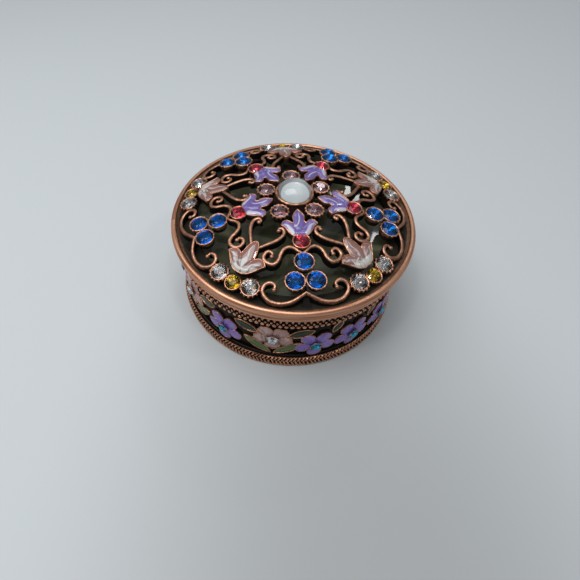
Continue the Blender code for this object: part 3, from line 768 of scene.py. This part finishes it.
def makeLidRim(look):
    rollR, rollZ = look["rollPlace"]
    beadR, beadZ = look["beadPlace"]
    rollHalf = look["rollHalf"][0]
    beadHalf = look["beadHalf"][0]
    ledge = look["ledgeInner"]
    flange = look["flangeOuter"]
    top = look["ledgeTop"]
    profile = [(look["ledgeOuter"], top), (rollR - look["rollFoot"], top + look["rollFootLift"])]
    profile += arcPoints(rollR, rollZ, *look["rollHalf"], 160.0, -62.0, 20)
    profile += arcPoints(beadR, beadZ, *look["beadHalf"], 65.0, -70.0, 9)
    profile += [(look["seat"], lidBase), (flange, lidBase), (flange, lidLow.z + 0.2 * mm),
                (flange - 0.2 * mm, lidLow.z), (look["flangeInner"], lidLow.z),
                (look["flangeInner"], look["ledgeUnder"]), (ledge, look["ledgeUnder"]),
                (ledge, top - 0.1 * mm), (ledge + 0.1 * mm, top)]
    rim = turnProfile("lidRim", profile, look["steps"])
    paint(rim, rimCopper)

    def rubbed(point):
        # dark inside the roll, bright on the roll, and bright on the bead's outside
        radius = flatReach(point)
        if radius < rollR - 0.75 * mm:
            return 0.02 + 0.50 * max(0.0, (radius - rollR) / mm + 2.3) / 1.5
        if point.z > beadZ + beadHalf * 0.75:
            return 0.20 + 0.80 * ((radius - rollR) / rollHalf + 0.75) / 0.6
        return 0.1 + 0.75 * (radius - beadR + 0.1 * mm) / beadHalf

    markCorners(rim, "relief", rubbed)
    smoothByAngle(rim, 40)
    return rim


rim = makeLidRim(lidRim)

print("scrolls")
scrollLook = {"halfWidth": 0.52 * mm, "footWidth": 0.572 * mm, "depth": 2.5 * mm,
              "arch": 0.46 * mm, "smooth": 5, "knob": 0.62 * mm, "knobSink": 0.465 * mm,
              "ends": {"share": 0.72, "length": 14}}
# lobe points in mm, from the lobe's axis outwards along each scroll
sScroll = [(0.0, 19.5), (0.9, 18.9), (2.0, 17.9), (3.3, 17.5), (4.6, 18.0), (5.5, 19.2),
           (6.1, 20.6), (7.0, 21.5), (8.0, 21.7), (9.3, 21.0), (9.9, 19.8), (9.4, 18.6),
           (8.4, 18.2), (7.6, 18.9), (7.8, 19.7)]
cScroll = [(0.0, 29.2), (1.5, 30.0), (3.5, 30.9), (5.5, 31.2), (7.5, 31.0), (9.3, 30.2),
           (10.5, 28.8), (10.7, 27.5), (9.9, 26.4), (8.6, 26.2), (7.6, 27.0), (7.8, 28.0)]
stemScroll = [(0.5, 21.0), (1.4, 19.7), (2.6, 18.1), (3.8, 16.4), (4.5, 14.8), (4.6, 13.5),
              (4.1, 12.6), (3.4, 12.3), (2.8, 12.8), (3.0, 13.4)]


def makeScrolls(look):
    # the section is rounded on top, with straight sides that run down into the dark
    foot = look["footWidth"]
    corners = [(-foot, -look["depth"]), (foot, -look["depth"])]
    corners += arcPoints(0.0, -look["arch"], look["halfWidth"], look["arch"], 0.0, 180.0, 8)
    section = newCurve("scrollSection", [(*corner, 0.0) for corner in corners], True, "2D")
    knob = startFrom(bpy.ops.mesh.primitive_uv_sphere_add, segments=12, ring_count=8,
                     radius=look["knob"])
    made = []
    for points, start in ((sScroll, tulipStart), (cScroll, tulipStart), (stemScroll, lilyStart)):
        path = smoothStretch([Vector(point) * mm for point in points], look["smooth"])
        for direction in lobeDirections(start):
            for side in (-1, 1):
                line = [lobePoint(side * spot.x, spot.y, direction) for spot in path]
                made.append(sweptStrip("scroll", line, section, look["ends"]))
                end = line[-1] - Vector((0.0, 0.0, look["knobSink"]))
                made.append(copyPiece(knob, "knob", Matrix.Translation(end)))
    bpy.data.objects.remove(section)
    bpy.data.objects.remove(knob)
    return made


tieLook = {"width": 1.1 * mm, "depth": 1.5 * mm, "start": 4.9 * mm, "end": 8.4 * mm,
           "height": rimPlane + dome["rise"] - 2.2 * mm, "edge": 0.25 * mm}
webLook = {"outline": [(-3.0, 32.8), (-1.5, 31.9), (-0.8, 30.4), (-0.45, 28.6), (0.0, 26.9),
                       (0.45, 28.6), (0.8, 30.4), (1.5, 31.9), (3.0, 32.8)],
           "low": lidRim["ledgeTop"] - 0.3 * mm, "drop": 1.25 * mm, "thick": 2.0 * mm,
           "ridge": 0.35 * mm, "ridgeWidth": 0.45 * mm, "slope": 0.45}


def makeWebs(look):
    # the dark web that ties each pair of C scrolls to the rim
    made = []
    for direction in lobeDirections(tulipStart):
        web = startFrom(bpy.ops.mesh.primitive_circle_add, vertices=len(look["outline"]),
                        radius=mm, fill_type="NGON")
        for corner, (across, out) in zip(web.data.vertices, look["outline"]):
            corner.co = lobePoint(across * mm, out * mm, direction, -look["drop"])
        editWhole(web, pushDown(look["thick"]), faceOutwards,
                  (bpy.ops.mesh.subdivide, {"number_cuts": 2}))
        for corner in web.data.vertices:
            spot = corner.co
            side = abs(spot.x * math.sin(direction) - spot.y * math.cos(direction))
            ridge = look["ridge"] * math.exp(-(side / look["ridgeWidth"]) ** 2)
            corner.co.z = max(spot.z + ridge - side * look["slope"], look["low"])
        made.append(web)
    return made


def makeTies(look):
    # short bars from the bezel to the tulips
    tie = startFrom(bpy.ops.mesh.primitive_cube_add, size=1.0)
    tie.data.transform(Matrix.Diagonal((look["width"], look["end"] - look["start"],
                                        look["depth"], 1.0)))
    applyModifier(tie, "BEVEL", width=look["edge"], segments=3)
    middle = (look["start"] + look["end"]) / 2
    return joinCopies(tie, "ties", [lobePlace(middle, look["height"], 0.0, direction)
                                    for direction in lobeDirections(tulipStart)])


openwork = joinPieces(makeScrolls(scrollLook) + makeWebs(webLook) + [makeTies(tieLook)],
                      "lidScrolls")
paint(openwork, deepCopper)
# bright on top of the openwork, dark further down its sides
markCorners(openwork, "relief", lambda point: 1.0 - belowDome(point) / (0.80 * mm))
smoothByAngle(openwork, 45)
finishPiece(joinPieces([rim, openwork], "lidCasting"), "lid")

print("petals")


def streakMeasure(lines):
    # pale lines drawn into an enamel; each point of a line is (x, y, half width) in mm
    parts = []
    for line in lines:
        soft = smoothStretch([Vector(point) * mm for point in line], 4)
        parts += [(here.xy, there.xy, (here.z + there.z) / 2)
                  for here, there in zip(soft, soft[1:])]
    return lambda point: max(nearLine(point.xy, *part) for part in parts)


def petalSolid(name, outline, look, creases=()):
    # an outline cut out of a fine grid, domed between its edges, with a wire round its rim
    body = startFrom(bpy.ops.mesh.primitive_circle_add, vertices=len(outline), radius=mm,
                     fill_type="NGON", calc_uvs=False)
    body.name = name
    for corner, point in zip(body.data.vertices, outline):
        corner.co = (*point, look["lift"])
    grid = look["grid"]
    low = [min(values) - grid for values in zip(*outline)]
    high = [max(values) + grid for values in zip(*outline)]
    wide, tall = high[0] - low[0], high[1] - low[1]
    slab = startFrom(bpy.ops.mesh.primitive_grid_add, x_subdivisions=round(wide / grid),
                     y_subdivisions=round(tall / grid), size=1.0, calc_uvs=False)
    slab.data.transform(Matrix.Translation(((low[0] + high[0]) / 2, (low[1] + high[1]) / 2, 0.0))
                        @ Matrix.Diagonal((wide, tall, 1.0, 1.0)))
    for part in (body, slab):
        editWhole(part, pushDown(look["depth"] + look["lift"]), faceOutwards)
    applyModifier(body, "BOOLEAN", operation="INTERSECT", solver="EXACT", object=slab)
    bpy.data.objects.remove(slab)
    edges = list(zip(outline, outline[1:] + outline[:1]))
    for corner in body.data.vertices:
        if abs(corner.co.z) > 0.001 * mm:
            continue
        flat = corner.co.xy
        away = min(distanceToLine(flat, start, end) for start, end in edges)
        rise = 1.0 - math.exp(-(away / look["shoulder"]) ** 1.5)
        corner.co.z = -look["recess"] + (look["recess"] + look["bulge"]) * rise
        for start, end, deep, wide in creases:
            corner.co.z -= deep * nearLine(flat, start, end, wide) * rise
    layer = body.data.uv_layers.new(name="petal")
    for loop in body.data.loops:
        layer.data[loop.index].uv = body.data.vertices[loop.vertex_index].co.xy / cm
    if "streaks" in look:
        markCorners(body, "streak", streakMeasure(look["streaks"]))
    paint(body, rubbedCopper, look["enamel"])
    paintFaces(body, 1, lambda face: face.normal.z > 0.3)
    markCorners(body, "relief", lambda point: 0.85 + point.z / (1.3 * mm))
    ring = closedWire("petalWire", [(*point, look["wireHeight"]) for point in outline],
                      look["wire"], 2)
    paint(ring, rubbedCopper)
    markCorners(ring, "relief", lambda point: 0.95)
    whole = joinPieces([body, ring], name)
    smoothByAngle(whole, 50)
    return whole


lobePetal = {"depth": 2.2 * mm, "lift": 0.5 * mm, "recess": 0.12 * mm, "height": 0.35 * mm,
             "wireHeight": -0.05 * mm}
tulipLook = dict(
    lobePetal, grid=0.18 * mm, shoulder=0.45 * mm, bulge=0.30 * mm, wire=0.13 * mm,
    enamel=lavenderEnamel, middle=10.6,
    # lobe points of one half in mm, from the tip at the lid's middle outwards
    half=((0.0, 6.4, True), (1.0, 7.7, False), (1.5, 8.9, False), (1.35, 10.2, False),
          (1.85, 10.95, True), (2.5, 10.3, False), (3.3, 9.95, False), (4.1, 10.3, False),
          (4.8, 11.3, True), (3.85, 12.1, False), (3.3, 13.1, False), (2.6, 14.2, False),
          (1.9, 14.9, True)),
    streaks=(((0.0, -2.6, 0.14), (-0.15, -1.2, 0.22), (0.1, 0.2, 0.24), (0.6, 1.2, 0.20),
              (1.4, 1.5, 0.14)),
             ((-3.9, 0.9, 0.12), (-3.0, 1.3, 0.26), (-2.4, 2.3, 0.50), (-1.9, 3.6, 0.75)),
             ((3.9, 0.8, 0.12), (3.0, 1.4, 0.28), (2.5, 2.5, 0.52), (2.0, 3.6, 0.75))))
lilyLook = dict(
    lobePetal, grid=0.20 * mm, shoulder=0.5 * mm, bulge=0.34 * mm, wire=0.15 * mm,
    enamel=lilyEnamel, middle=23.6,
    half=((0.0, 18.9, False), (0.75, 19.4, False), (1.4, 20.8, False), (1.75, 22.4, False),
          (2.0, 23.7, True), (2.8, 23.0, False), (3.9, 22.8, False), (4.7, 23.2, False),
          (5.4, 24.05, True), (4.9, 24.6, False), (4.1, 25.6, False), (3.2, 26.8, False),
          (2.1, 27.8, False), (1.0, 28.3, True)),
    streaks=(((0.1, -3.4, 0.12), (0.35, -1.8, 0.26), (-0.1, -0.2, 0.34), (0.2, 1.2, 0.52)),
             ((-4.6, 0.75, 0.18), (-3.4, 1.2, 0.40), (-2.2, 2.0, 0.62), (-1.2, 2.9, 0.75)),
             ((4.6, 0.7, 0.18), (3.5, 0.9, 0.38), (2.4, 1.7, 0.55), (1.3, 2.8, 0.75)),
             ((3.9, 2.2, 0.30), (2.8, 3.2, 0.44), (1.6, 3.9, 0.42))))
notchCrease = {"reach": 0.6, "depth": 0.30 * mm, "width": 0.34 * mm}


def makeLobePetals(name, look, start):
    middle = look["middle"]
    half = [(x, out - middle, corner) for x, out, corner in look["half"]]
    points = half + [(-x, y, corner) for x, y, corner in reversed(half) if x > 0.0]
    firstCorner = next(index for index, point in enumerate(points) if point[2])
    outline = smoothOutline(points[firstCorner:] + points[:firstCorner], 5)
    lowest = min(point.y for point in outline)
    highest = max(point.y for point in outline)
    inner = domeHeight(middle * mm + lowest)
    outer = domeHeight(middle * mm + highest)
    tilt = math.atan2(inner - outer, highest - lowest)
    height = (inner + outer) / 2 + look["height"]
    creases = []
    for x, y, corner in points:
        # a crease runs from each notch between two petals towards the foot
        if corner and 0.5 < abs(x) < 3.0 and y < 2.0:
            notch = Vector((x * mm, y * mm))
            end = notch.lerp(Vector((0.0, highest)), notchCrease["reach"])
            creases.append((notch, end, notchCrease["depth"], notchCrease["width"]))
    petal = petalSolid(name, outline, look, creases)
    finishPiece(joinCopies(petal, name, [lobePlace(middle * mm, height, tilt, direction)
                                         for direction in lobeDirections(start)]))


makeLobePetals("tulips", tulipLook, tulipStart)
makeLobePetals("lilies", lilyLook, lilyStart)

print("side flowers and leaves")
flowerSpots = [("mauve", 205.0), ("lavender", 230.0), ("mauve", 256.0), ("lavender", 277.0),
               ("lavender", 297.0), ("lavender", 318.0), ("mauve", 341.0), ("lavender", 362.5)]
sideFlower = {"diameter": 11.4, "depth": 0.9 * mm, "lift": 0.5 * mm, "grid": 0.28 * mm,
              "proud": 0.70 * mm}
mauveFlower = dict(
    sideFlower, height=13.4 * mm, shoulder=0.5 * mm, recess=0.12 * mm, bulge=0.24 * mm,
    wire=0.13 * mm, wireHeight=-0.04 * mm, enamel=mauveEnamel,
    # one petal: degrees from its middle, reach as a share of the diameter, corner
    petal=((-36.0, 0.28, True), (-29.0, 0.39, False), (-18.0, 0.455, False),
           (-8.0, 0.465, False), (0.0, 0.51, True), (8.0, 0.465, False), (18.0, 0.455, False),
           (29.0, 0.39, False)))
lavenderFlower = dict(
    sideFlower, height=10.0 * mm, shoulder=0.4 * mm, recess=0.10 * mm, bulge=0.26 * mm,
    wire=0.09 * mm, wireHeight=-0.06 * mm, enamel=violetEnamel,
    petal=((-36.0, 0.25, True), (-28.0, 0.38, False), (-15.0, 0.480, False),
           (0.0, 0.505, False), (15.0, 0.480, False), (28.0, 0.38, False)))
# creases of a flower: shares of the diameter along them, depth and width
petalCrease = (0.20, 0.40, 0.13 * mm, 0.22 * mm)
gapCrease = (0.05, 0.26, 0.34 * mm, 0.30 * mm)
lowerLeaf = {"spread": 7.5, "height": 8.0 * mm, "turn": 36.0, "length": 9.8, "width": 3.1}
upperLeaf = {"spread": 13.3, "height": 15.8 * mm, "turn": 20.0, "length": 7.4, "width": 3.5}
smallLeaf = {"spread": 0.0, "height": 16.6 * mm, "turn": 65.0, "length": 5.2, "width": 2.4}
leafLook = {
    "depth": 0.7 * mm, "lift": 0.5 * mm, "grid": 0.28 * mm, "shoulder": 0.45 * mm,
    "recess": 0.06 * mm, "bulge": 0.16 * mm, "wire": 0.15 * mm, "wireHeight": 0.0,
    "proud": 0.45 * mm, "vein": (0.16 * mm, 0.16 * mm),
    # the leaf's edge, as shares of its half length and half width
    "edge": ((-1.0, 0.0, True), (-0.5, -0.75, False), (0.15, -1.0, False), (0.7, -0.6, False),
             (1.0, 0.0, True), (0.7, 0.6, False), (0.15, 1.0, False), (-0.5, 0.75, False))}


def wrapCopies(master, name, spots, height, proud):
    # bends copies of a flat piece round the wall: x runs round it, y up, z outwards
    made = []
    for direction, turn in spots:
        twin = copyPiece(master, name, Matrix.Rotation(turn, 4, "Z"))
        for corner in twin.data.vertices:
            around, up, out = corner.co
            angle = direction + around / wallRadius
            reach = wallRadius + proud + out
            corner.co = (reach * math.cos(angle), reach * math.sin(angle), height + up)
        twin.data.update()
        made.append(twin)
    bpy.data.objects.remove(master)
    finishPiece(joinPieces(made, name))


def halfTurns():
    return [(kind, math.radians(degrees + 180.0 * half)) for half in range(2)
            for kind, degrees in flowerSpots]


def makeSideFlowers(kind, name, look):
    points = []
    creases = []
    for petal in range(5):
        middle = -90.0 + 72.0 * petal
        for offset, share, corner in look["petal"]:
            angle = math.radians(middle + offset)
            reach = look["diameter"] * share
            points.append((reach * math.cos(angle), reach * math.sin(angle), corner))
        for turn, (start, end, depth, width) in ((0.0, petalCrease), (36.0, gapCrease)):
            angle = math.radians(middle + turn)
            way = Vector((math.cos(angle), math.sin(angle))) * look["diameter"] * mm
            creases.append((way * start, way * end, depth, width))
    master = petalSolid(name, smoothOutline(points, 4), look, creases)
    spots = [(direction, 0.0) for spotKind, direction in halfTurns() if spotKind == kind]
    wrapCopies(master, name, spots, look["height"], look["proud"])


def leafSpots(kind, leaf):
    # beside each mauve flower, or between two lavender ones
    spots = []
    turns = halfTurns()
    for (here, direction), (there, following) in zip(turns, turns[1:] + turns[:1]):
        if here == kind == "mauve":
            for side in (-1, 1):
                turn = math.radians(side * leaf["turn"]) + (0.0 if side > 0 else math.pi)
                spots.append((direction + side * math.radians(leaf["spread"]), turn))
        if here == there == kind == "lavender":
            gap = (following - direction) % (2 * math.pi)
            spots.append((direction + gap / 2, math.radians(leaf["turn"])))
    return spots


def makeLeaves(name, leaf, enamel, kind):
    half = leaf["length"] / 2
    wide = leaf["width"] / 2
    points = [(half * x, wide * y, corner) for x, y, corner in leafLook["edge"]]
    vein = (Vector((-half * 0.85 * mm, 0.0)), Vector((half * 0.8 * mm, 0.0)), *leafLook["vein"])
    master = petalSolid(name, smoothOutline(points, 4), dict(leafLook, enamel=enamel), [vein])
    wrapCopies(master, name, leafSpots(kind, leaf), leaf["height"], leafLook["proud"])


makeSideFlowers("mauve", "mauveFlowers", mauveFlower)
makeSideFlowers("lavender", "lavenderFlowers", lavenderFlower)
makeLeaves("lowerLeaves", lowerLeaf, leafEnamel, "mauve")
# the upper and small leaves take the darker copy of the leaf enamel: painted shade
makeLeaves("upperLeaves", upperLeaf, shadedLeafEnamel, "mauve")
makeLeaves("smallLeaves", smallLeaf, shadedLeafEnamel, "lavender")

print("stones and their cups")
stoneKinds = {
    # start of the nodes' names: glass, diameter, cup depth, beads round the cup, bead radius;
    # a stone with no cup depth sits in a plain ring
    "amethyst": ("amethyst", 4.3 * mm, 2.6 * mm, 14, 0.34 * mm),
    "red_stone": ("red", 4.2 * mm, 2.6 * mm, 12, 0.24 * mm),
    "blue_stone": ("blue", 4.7 * mm, 2.6 * mm, 14, 0.26 * mm),
    "yellow_stone": ("yellow", 3.8 * mm, 3.1 * mm, 12, 0.24 * mm),
    "clear_stone": ("clear", 4.3 * mm, 3.1 * mm, 14, 0.36 * mm),
    "side_aqua": ("aqua", 3.2 * mm, 0.0, 0, 0.0),
    "side_clear": ("clear", 3.8 * mm, 0.0, 0, 0.0),
}
stoneCut = {"table": 0.55, "crown": 0.17, "star": 0.80, "starHeight": 0.58, "girdle": 0.02,
            "pavilion": 0.26, "sidePavilion": 0.24, "spin": 0.61}
cupLook = {"steps": 32, "lip": 0.17 * mm, "lipOut": 0.14 * mm, "beadSink": 1.2, "beadTall": 1.6,
           "reliefDepth": 0.72 * mm, "sideRelief": 0.7}
ringLook = {"out": 0.08 * mm, "thick": 0.16 * mm, "sink": 0.05 * mm}


def nodeMiddle(name):
    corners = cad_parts[name].data.vertices
    return sum((corner.co for corner in corners), Vector()) / len(corners)


def cutStone(name, diameter, kind, pavilion):
    # rings of points wrapped in a hull: a table, star and kite facets, a girdle and a point
    radius = diameter / 2
    crown = diameter * stoneCut["crown"]
    rings = ((8, radius * stoneCut["table"], crown, 0.0),
             (8, radius * stoneCut["star"], crown * stoneCut["starHeight"], 22.5),
             (16, radius, diameter * stoneCut["girdle"], 0.0), (16, radius, 0.0, 0.0),
             (8, radius * 0.5, -diameter * pavilion * 0.55, 11.25),
             (4, radius * 0.04, -diameter * pavilion, 0.0))
    made = [startFrom(bpy.ops.mesh.primitive_circle_add, vertices=count, radius=reach,
                      fill_type="NOTHING", location=(0.0, 0.0, height),
                      rotation=(0.0, 0.0, math.radians(turn)))
            for count, reach, height, turn in rings]
    pickOnly(*made)
    bpy.ops.object.transform_apply(location=True, rotation=True, scale=True)
    stone = joinPieces(made, name)
    editWhole(stone, (bpy.ops.mesh.convex_hull, {}), faceOutwards)
    paint(stone, crystals[kind], foils.get(name, foils[kind]))
    paintFaces(stone, 1, lambda face: face.normal.z < -0.2)
    return stone


def makeCup(diameter, depth, beads, beadRadius):
    # an open cone that holds the stone, with a rolled lip and a ring of beads
    radius = diameter / 2
    lip = cupLook["lip"]
    inside = -diameter * stoneCut["pavilion"] - 0.12 * mm
    profile = [(0.0, -depth), (radius * 0.86, -depth), (radius + 0.10 * mm, -0.45 * mm)]
    profile += arcPoints(radius + cupLook["lipOut"], 0.0, lip, lip, -60.0, 170.0, 7)
    profile += [(radius - 0.03 * mm, -0.10 * mm), (radius * 0.5, inside * 0.62), (0.0, inside)]
    cup = turnProfile("cup", profile, cupLook["steps"], closed=False)
    bead = startFrom(bpy.ops.mesh.primitive_uv_sphere_add, segments=8, ring_count=6, radius=1.0)
    reach = radius + beadRadius * 0.85
    height = 0.10 * mm - beadRadius * cupLook["beadSink"]
    size = Matrix.Diagonal((beadRadius, beadRadius, beadRadius * cupLook["beadTall"], 1.0))
    place = Matrix.Translation((reach, 0.0, height)) @ size
    return joinPieces([cup, copyAround(bead, "beads", place, beads)], "cup")


def makeSideRing(diameter):
    ring = startFrom(bpy.ops.mesh.primitive_torus_add,
                     major_radius=diameter / 2 + ringLook["out"],
                     minor_radius=ringLook["thick"], major_segments=28, minor_segments=8)
    ring.data.transform(Matrix.Translation((0.0, 0.0, -ringLook["sink"])))
    return ring


def seatPlace(middle, height, kind):
    # Z stands on the seat, for a stone whose middle is given
    direction = math.atan2(middle.y, middle.x)
    if kind.startswith("side"):
        upright = Matrix(((0.0, 0.0, 1.0), (1.0, 0.0, 0.0), (0.0, 1.0, 0.0))).to_4x4()
        turn = Matrix.Rotation(direction, 4, "Z") @ upright
    else:
        tilt = 0.5 * math.atan(domeFall(flatReach(middle)))
        turn = lobePlace(0.0, 0.0, tilt, direction)
    return Matrix.Translation(middle) @ turn @ Matrix.Translation((0.0, 0.0, -height / 2))


def makeStones():
    seats = []
    for kind, (glass, diameter, depth, beads, beadRadius) in stoneKinds.items():
        pavilion = stoneCut["pavilion" if depth else "sidePavilion"]
        master = cutStone(kind, diameter, glass, pavilion)
        seat = makeCup(diameter, depth, beads, beadRadius) if depth else makeSideRing(diameter)
        first, *rest = kind.split("_")
        label = first + "".join(part.capitalize() for part in rest) + "Cut%d"
        for name in sorted(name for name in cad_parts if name.startswith(kind)):
            place = seatPlace(nodeMiddle(name), diameter * stoneCut["crown"], kind)
            number = int(name.rsplit("_", 1)[1])
            turn = Matrix.Rotation(stoneCut["spin"] * number, 4, "Z")
            finishPiece(copyPiece(master, label % number, place @ turn), name,
                        slotName=glass + "_glass")
            seats.append(copyPiece(seat, "seat", place))
        bpy.data.objects.remove(master)
        bpy.data.objects.remove(seat)
    sideTop = lidBase - 3.0 * mm
    finishMetal(joinPieces(seats, "stoneCups"), rubbedCopper, 50, lambda point:
                cupLook["sideRelief"] if point.z < sideTop
                else 1.0 - belowDome(point) / cupLook["reliefDepth"])


makeStones()

print("cabochon and bezel")
cabochon = {"radius": cabHigh.x, "height": cabHigh.z - cabLow.z, "edge": 0.20, "steps": 96,
            "bezelGap": 0.03 * mm, "bezelRise": 0.55 * mm, "bezelRoll": 0.38 * mm,
            # the bezel's skirt, as (radius, depth under the cabochon) in mm
            "skirt": ((0.0, 2.6), (6.1, 2.6), (5.6, 1.4)), "collar": (0.75 * mm, 0.5 * mm),
            "reliefDepth": 1.6 * mm}


def makeCabochon(look):
    radius = look["radius"]
    edge = look["height"] * look["edge"]
    profile = [(0.0, cabLow.z), (radius * 0.6, cabLow.z), (radius - 0.1 * mm, cabLow.z)]
    profile += arcPoints(0.0, cabLow.z + edge, radius, look["height"] - edge, 0.0, 90.0, 24)
    domed = turnProfile("cabochonDome", profile, look["steps"], closed=False)
    paint(domed, crystals["clear"], backingWithReflection)
    paintFaces(domed, 1, lambda face: face.normal.z < -0.5)
    smoothByAngle(domed, 40)
    finishPiece(domed, "cabochon", slotName="clear_glass")


def makeBezel(look):
    inner = look["radius"] + look["bezelGap"]
    top = cabLow.z + look["bezelRise"]
    roll = look["bezelRoll"]
    out, down = look["collar"]
    seat = cabLow.z - 0.05 * mm
    profile = [(radius * mm, cabLow.z - depth * mm) for radius, depth in look["skirt"]]
    profile += [(inner + out, cabLow.z - down)]
    profile += arcPoints(inner + roll, top - roll, roll, roll, -40.0, 175.0, 10)
    profile += [(inner, seat), (0.0, seat)]
    bezel = turnProfile("bezel", profile, look["steps"], closed=False)
    finishMetal(bezel, rubbedCopper, 40, lambda point: 0.9 - (top - point.z) / look["reliefDepth"])


makeCabochon(cabochon)
makeBezel(cabochon)

print("floor, light and camera")
studio = {
    # painted shadow: the floor is darker in a soft, stretched patch in front of the box, fading out
    # to the plain floor colour
    "floor": (0.527, 0.555, 0.570), "paintedShadowFloor": (0.350, 0.362, 0.366),
    "paintedShadowPlace": (-18.8 * mm, 93.1 * mm, 0.0), "paintedShadowStretch": (1.633, 1.0, 0.0),
    "paintedShadowInner": 14.4 * mm, "paintedShadowOuter": 148.4 * mm,
    "low": (0.22, 0.235, 0.25), "high": (0.62, 0.66, 0.68), "rise": (0.72, 0.92),
    # each softbox: direction in degrees, height in degrees, distance, width, height, power
    "softboxes": {"overheadLight": (182.0, 68.0, 0.45, 0.30, 0.45, 1.40),
                  "backLamp": (72.0, 39.0, 1.0, 0.150, 0.070, 0.32),
                  "sideLamp": (61.7, 46.1, 1.0, 0.034, 0.060, 0.070),
                  "ceilingLampLeft": (209.4, 67.2, 1.0, 0.055, 0.055, 0.55),
                  "ceilingLampMiddle": (305.0, 73.7, 1.0, 0.055, 0.055, 0.55),
                  "ceilingLampRight": (340.7, 55.7, 1.0, 0.055, 0.055, 0.55)},
}
view = {"place": (-16.6 * mm, -90.3 * mm, 114.05 * mm), "turn": (36.554, -0.025, -3.510),
        "lens": 26.47, "shiftX": 0.0616, "shiftY": 0.0019}


def makeStudio(look):
    floor = startFrom(bpy.ops.mesh.primitive_plane_add, size=4.0, location=(0.0, 0.0, boxLow.z))
    floor.name = "floor"
    material, tree, shader = newMaterial("pale floor with painted shadow", {"Roughness": 0.75})
    # painted shadow: a soft darker patch in front of the box, blended into the plain floor colour
    reach = reachFrom(tree, look["paintedShadowPlace"], look["paintedShadowStretch"])
    paintedShadowFade = maskOf(tree, reach, look["paintedShadowInner"], look["paintedShadowOuter"])
    setInputs(shader, {"Base Color": blendOf(tree, paintedShadowFade, look["paintedShadowFloor"], look["floor"])})
    paint(floor, material)
    world = bpy.data.worlds.new("soft room")
    bpy.context.scene.world = world
    world.use_nodes = True
    room = world.node_tree
    height = addNode(room, "ShaderNodeSeparateXYZ", {0: coordinates(room, "Generated")})["Z"]
    sky = blendOf(room, maskOf(room, height, *look["rise"]), look["low"], look["high"])
    setInputs(room.nodes["Background"], {"Color": sky})
    for name, (turn, rise, distance, width, height, power) in look["softboxes"].items():
        flat = math.cos(math.radians(rise))
        way = Vector((math.cos(math.radians(turn)) * flat, math.sin(math.radians(turn)) * flat,
                      math.sin(math.radians(rise))))
        bpy.ops.object.light_add(type="AREA", location=way * distance)
        softbox = bpy.context.object
        softbox.name = name
        softbox.data.shape = "RECTANGLE"
        softbox.data.size = width
        softbox.data.size_y = height
        softbox.data.energy = power
        softbox.rotation_euler = (-way).to_track_quat("-Z", "Y").to_euler()


def makeCamera(look):
    bpy.ops.object.camera_add(location=look["place"],
                              rotation=[math.radians(angle) for angle in look["turn"]])
    camera = bpy.context.object
    camera.data.lens = look["lens"]
    camera.data.shift_x = look["shiftX"]
    camera.data.shift_y = look["shiftY"]
    camera.data.clip_start = mm
    bpy.context.scene.camera = camera
    bpy.context.scene.view_settings.view_transform = "Standard"


makeStudio(studio)
makeCamera(view)

print("finishing")
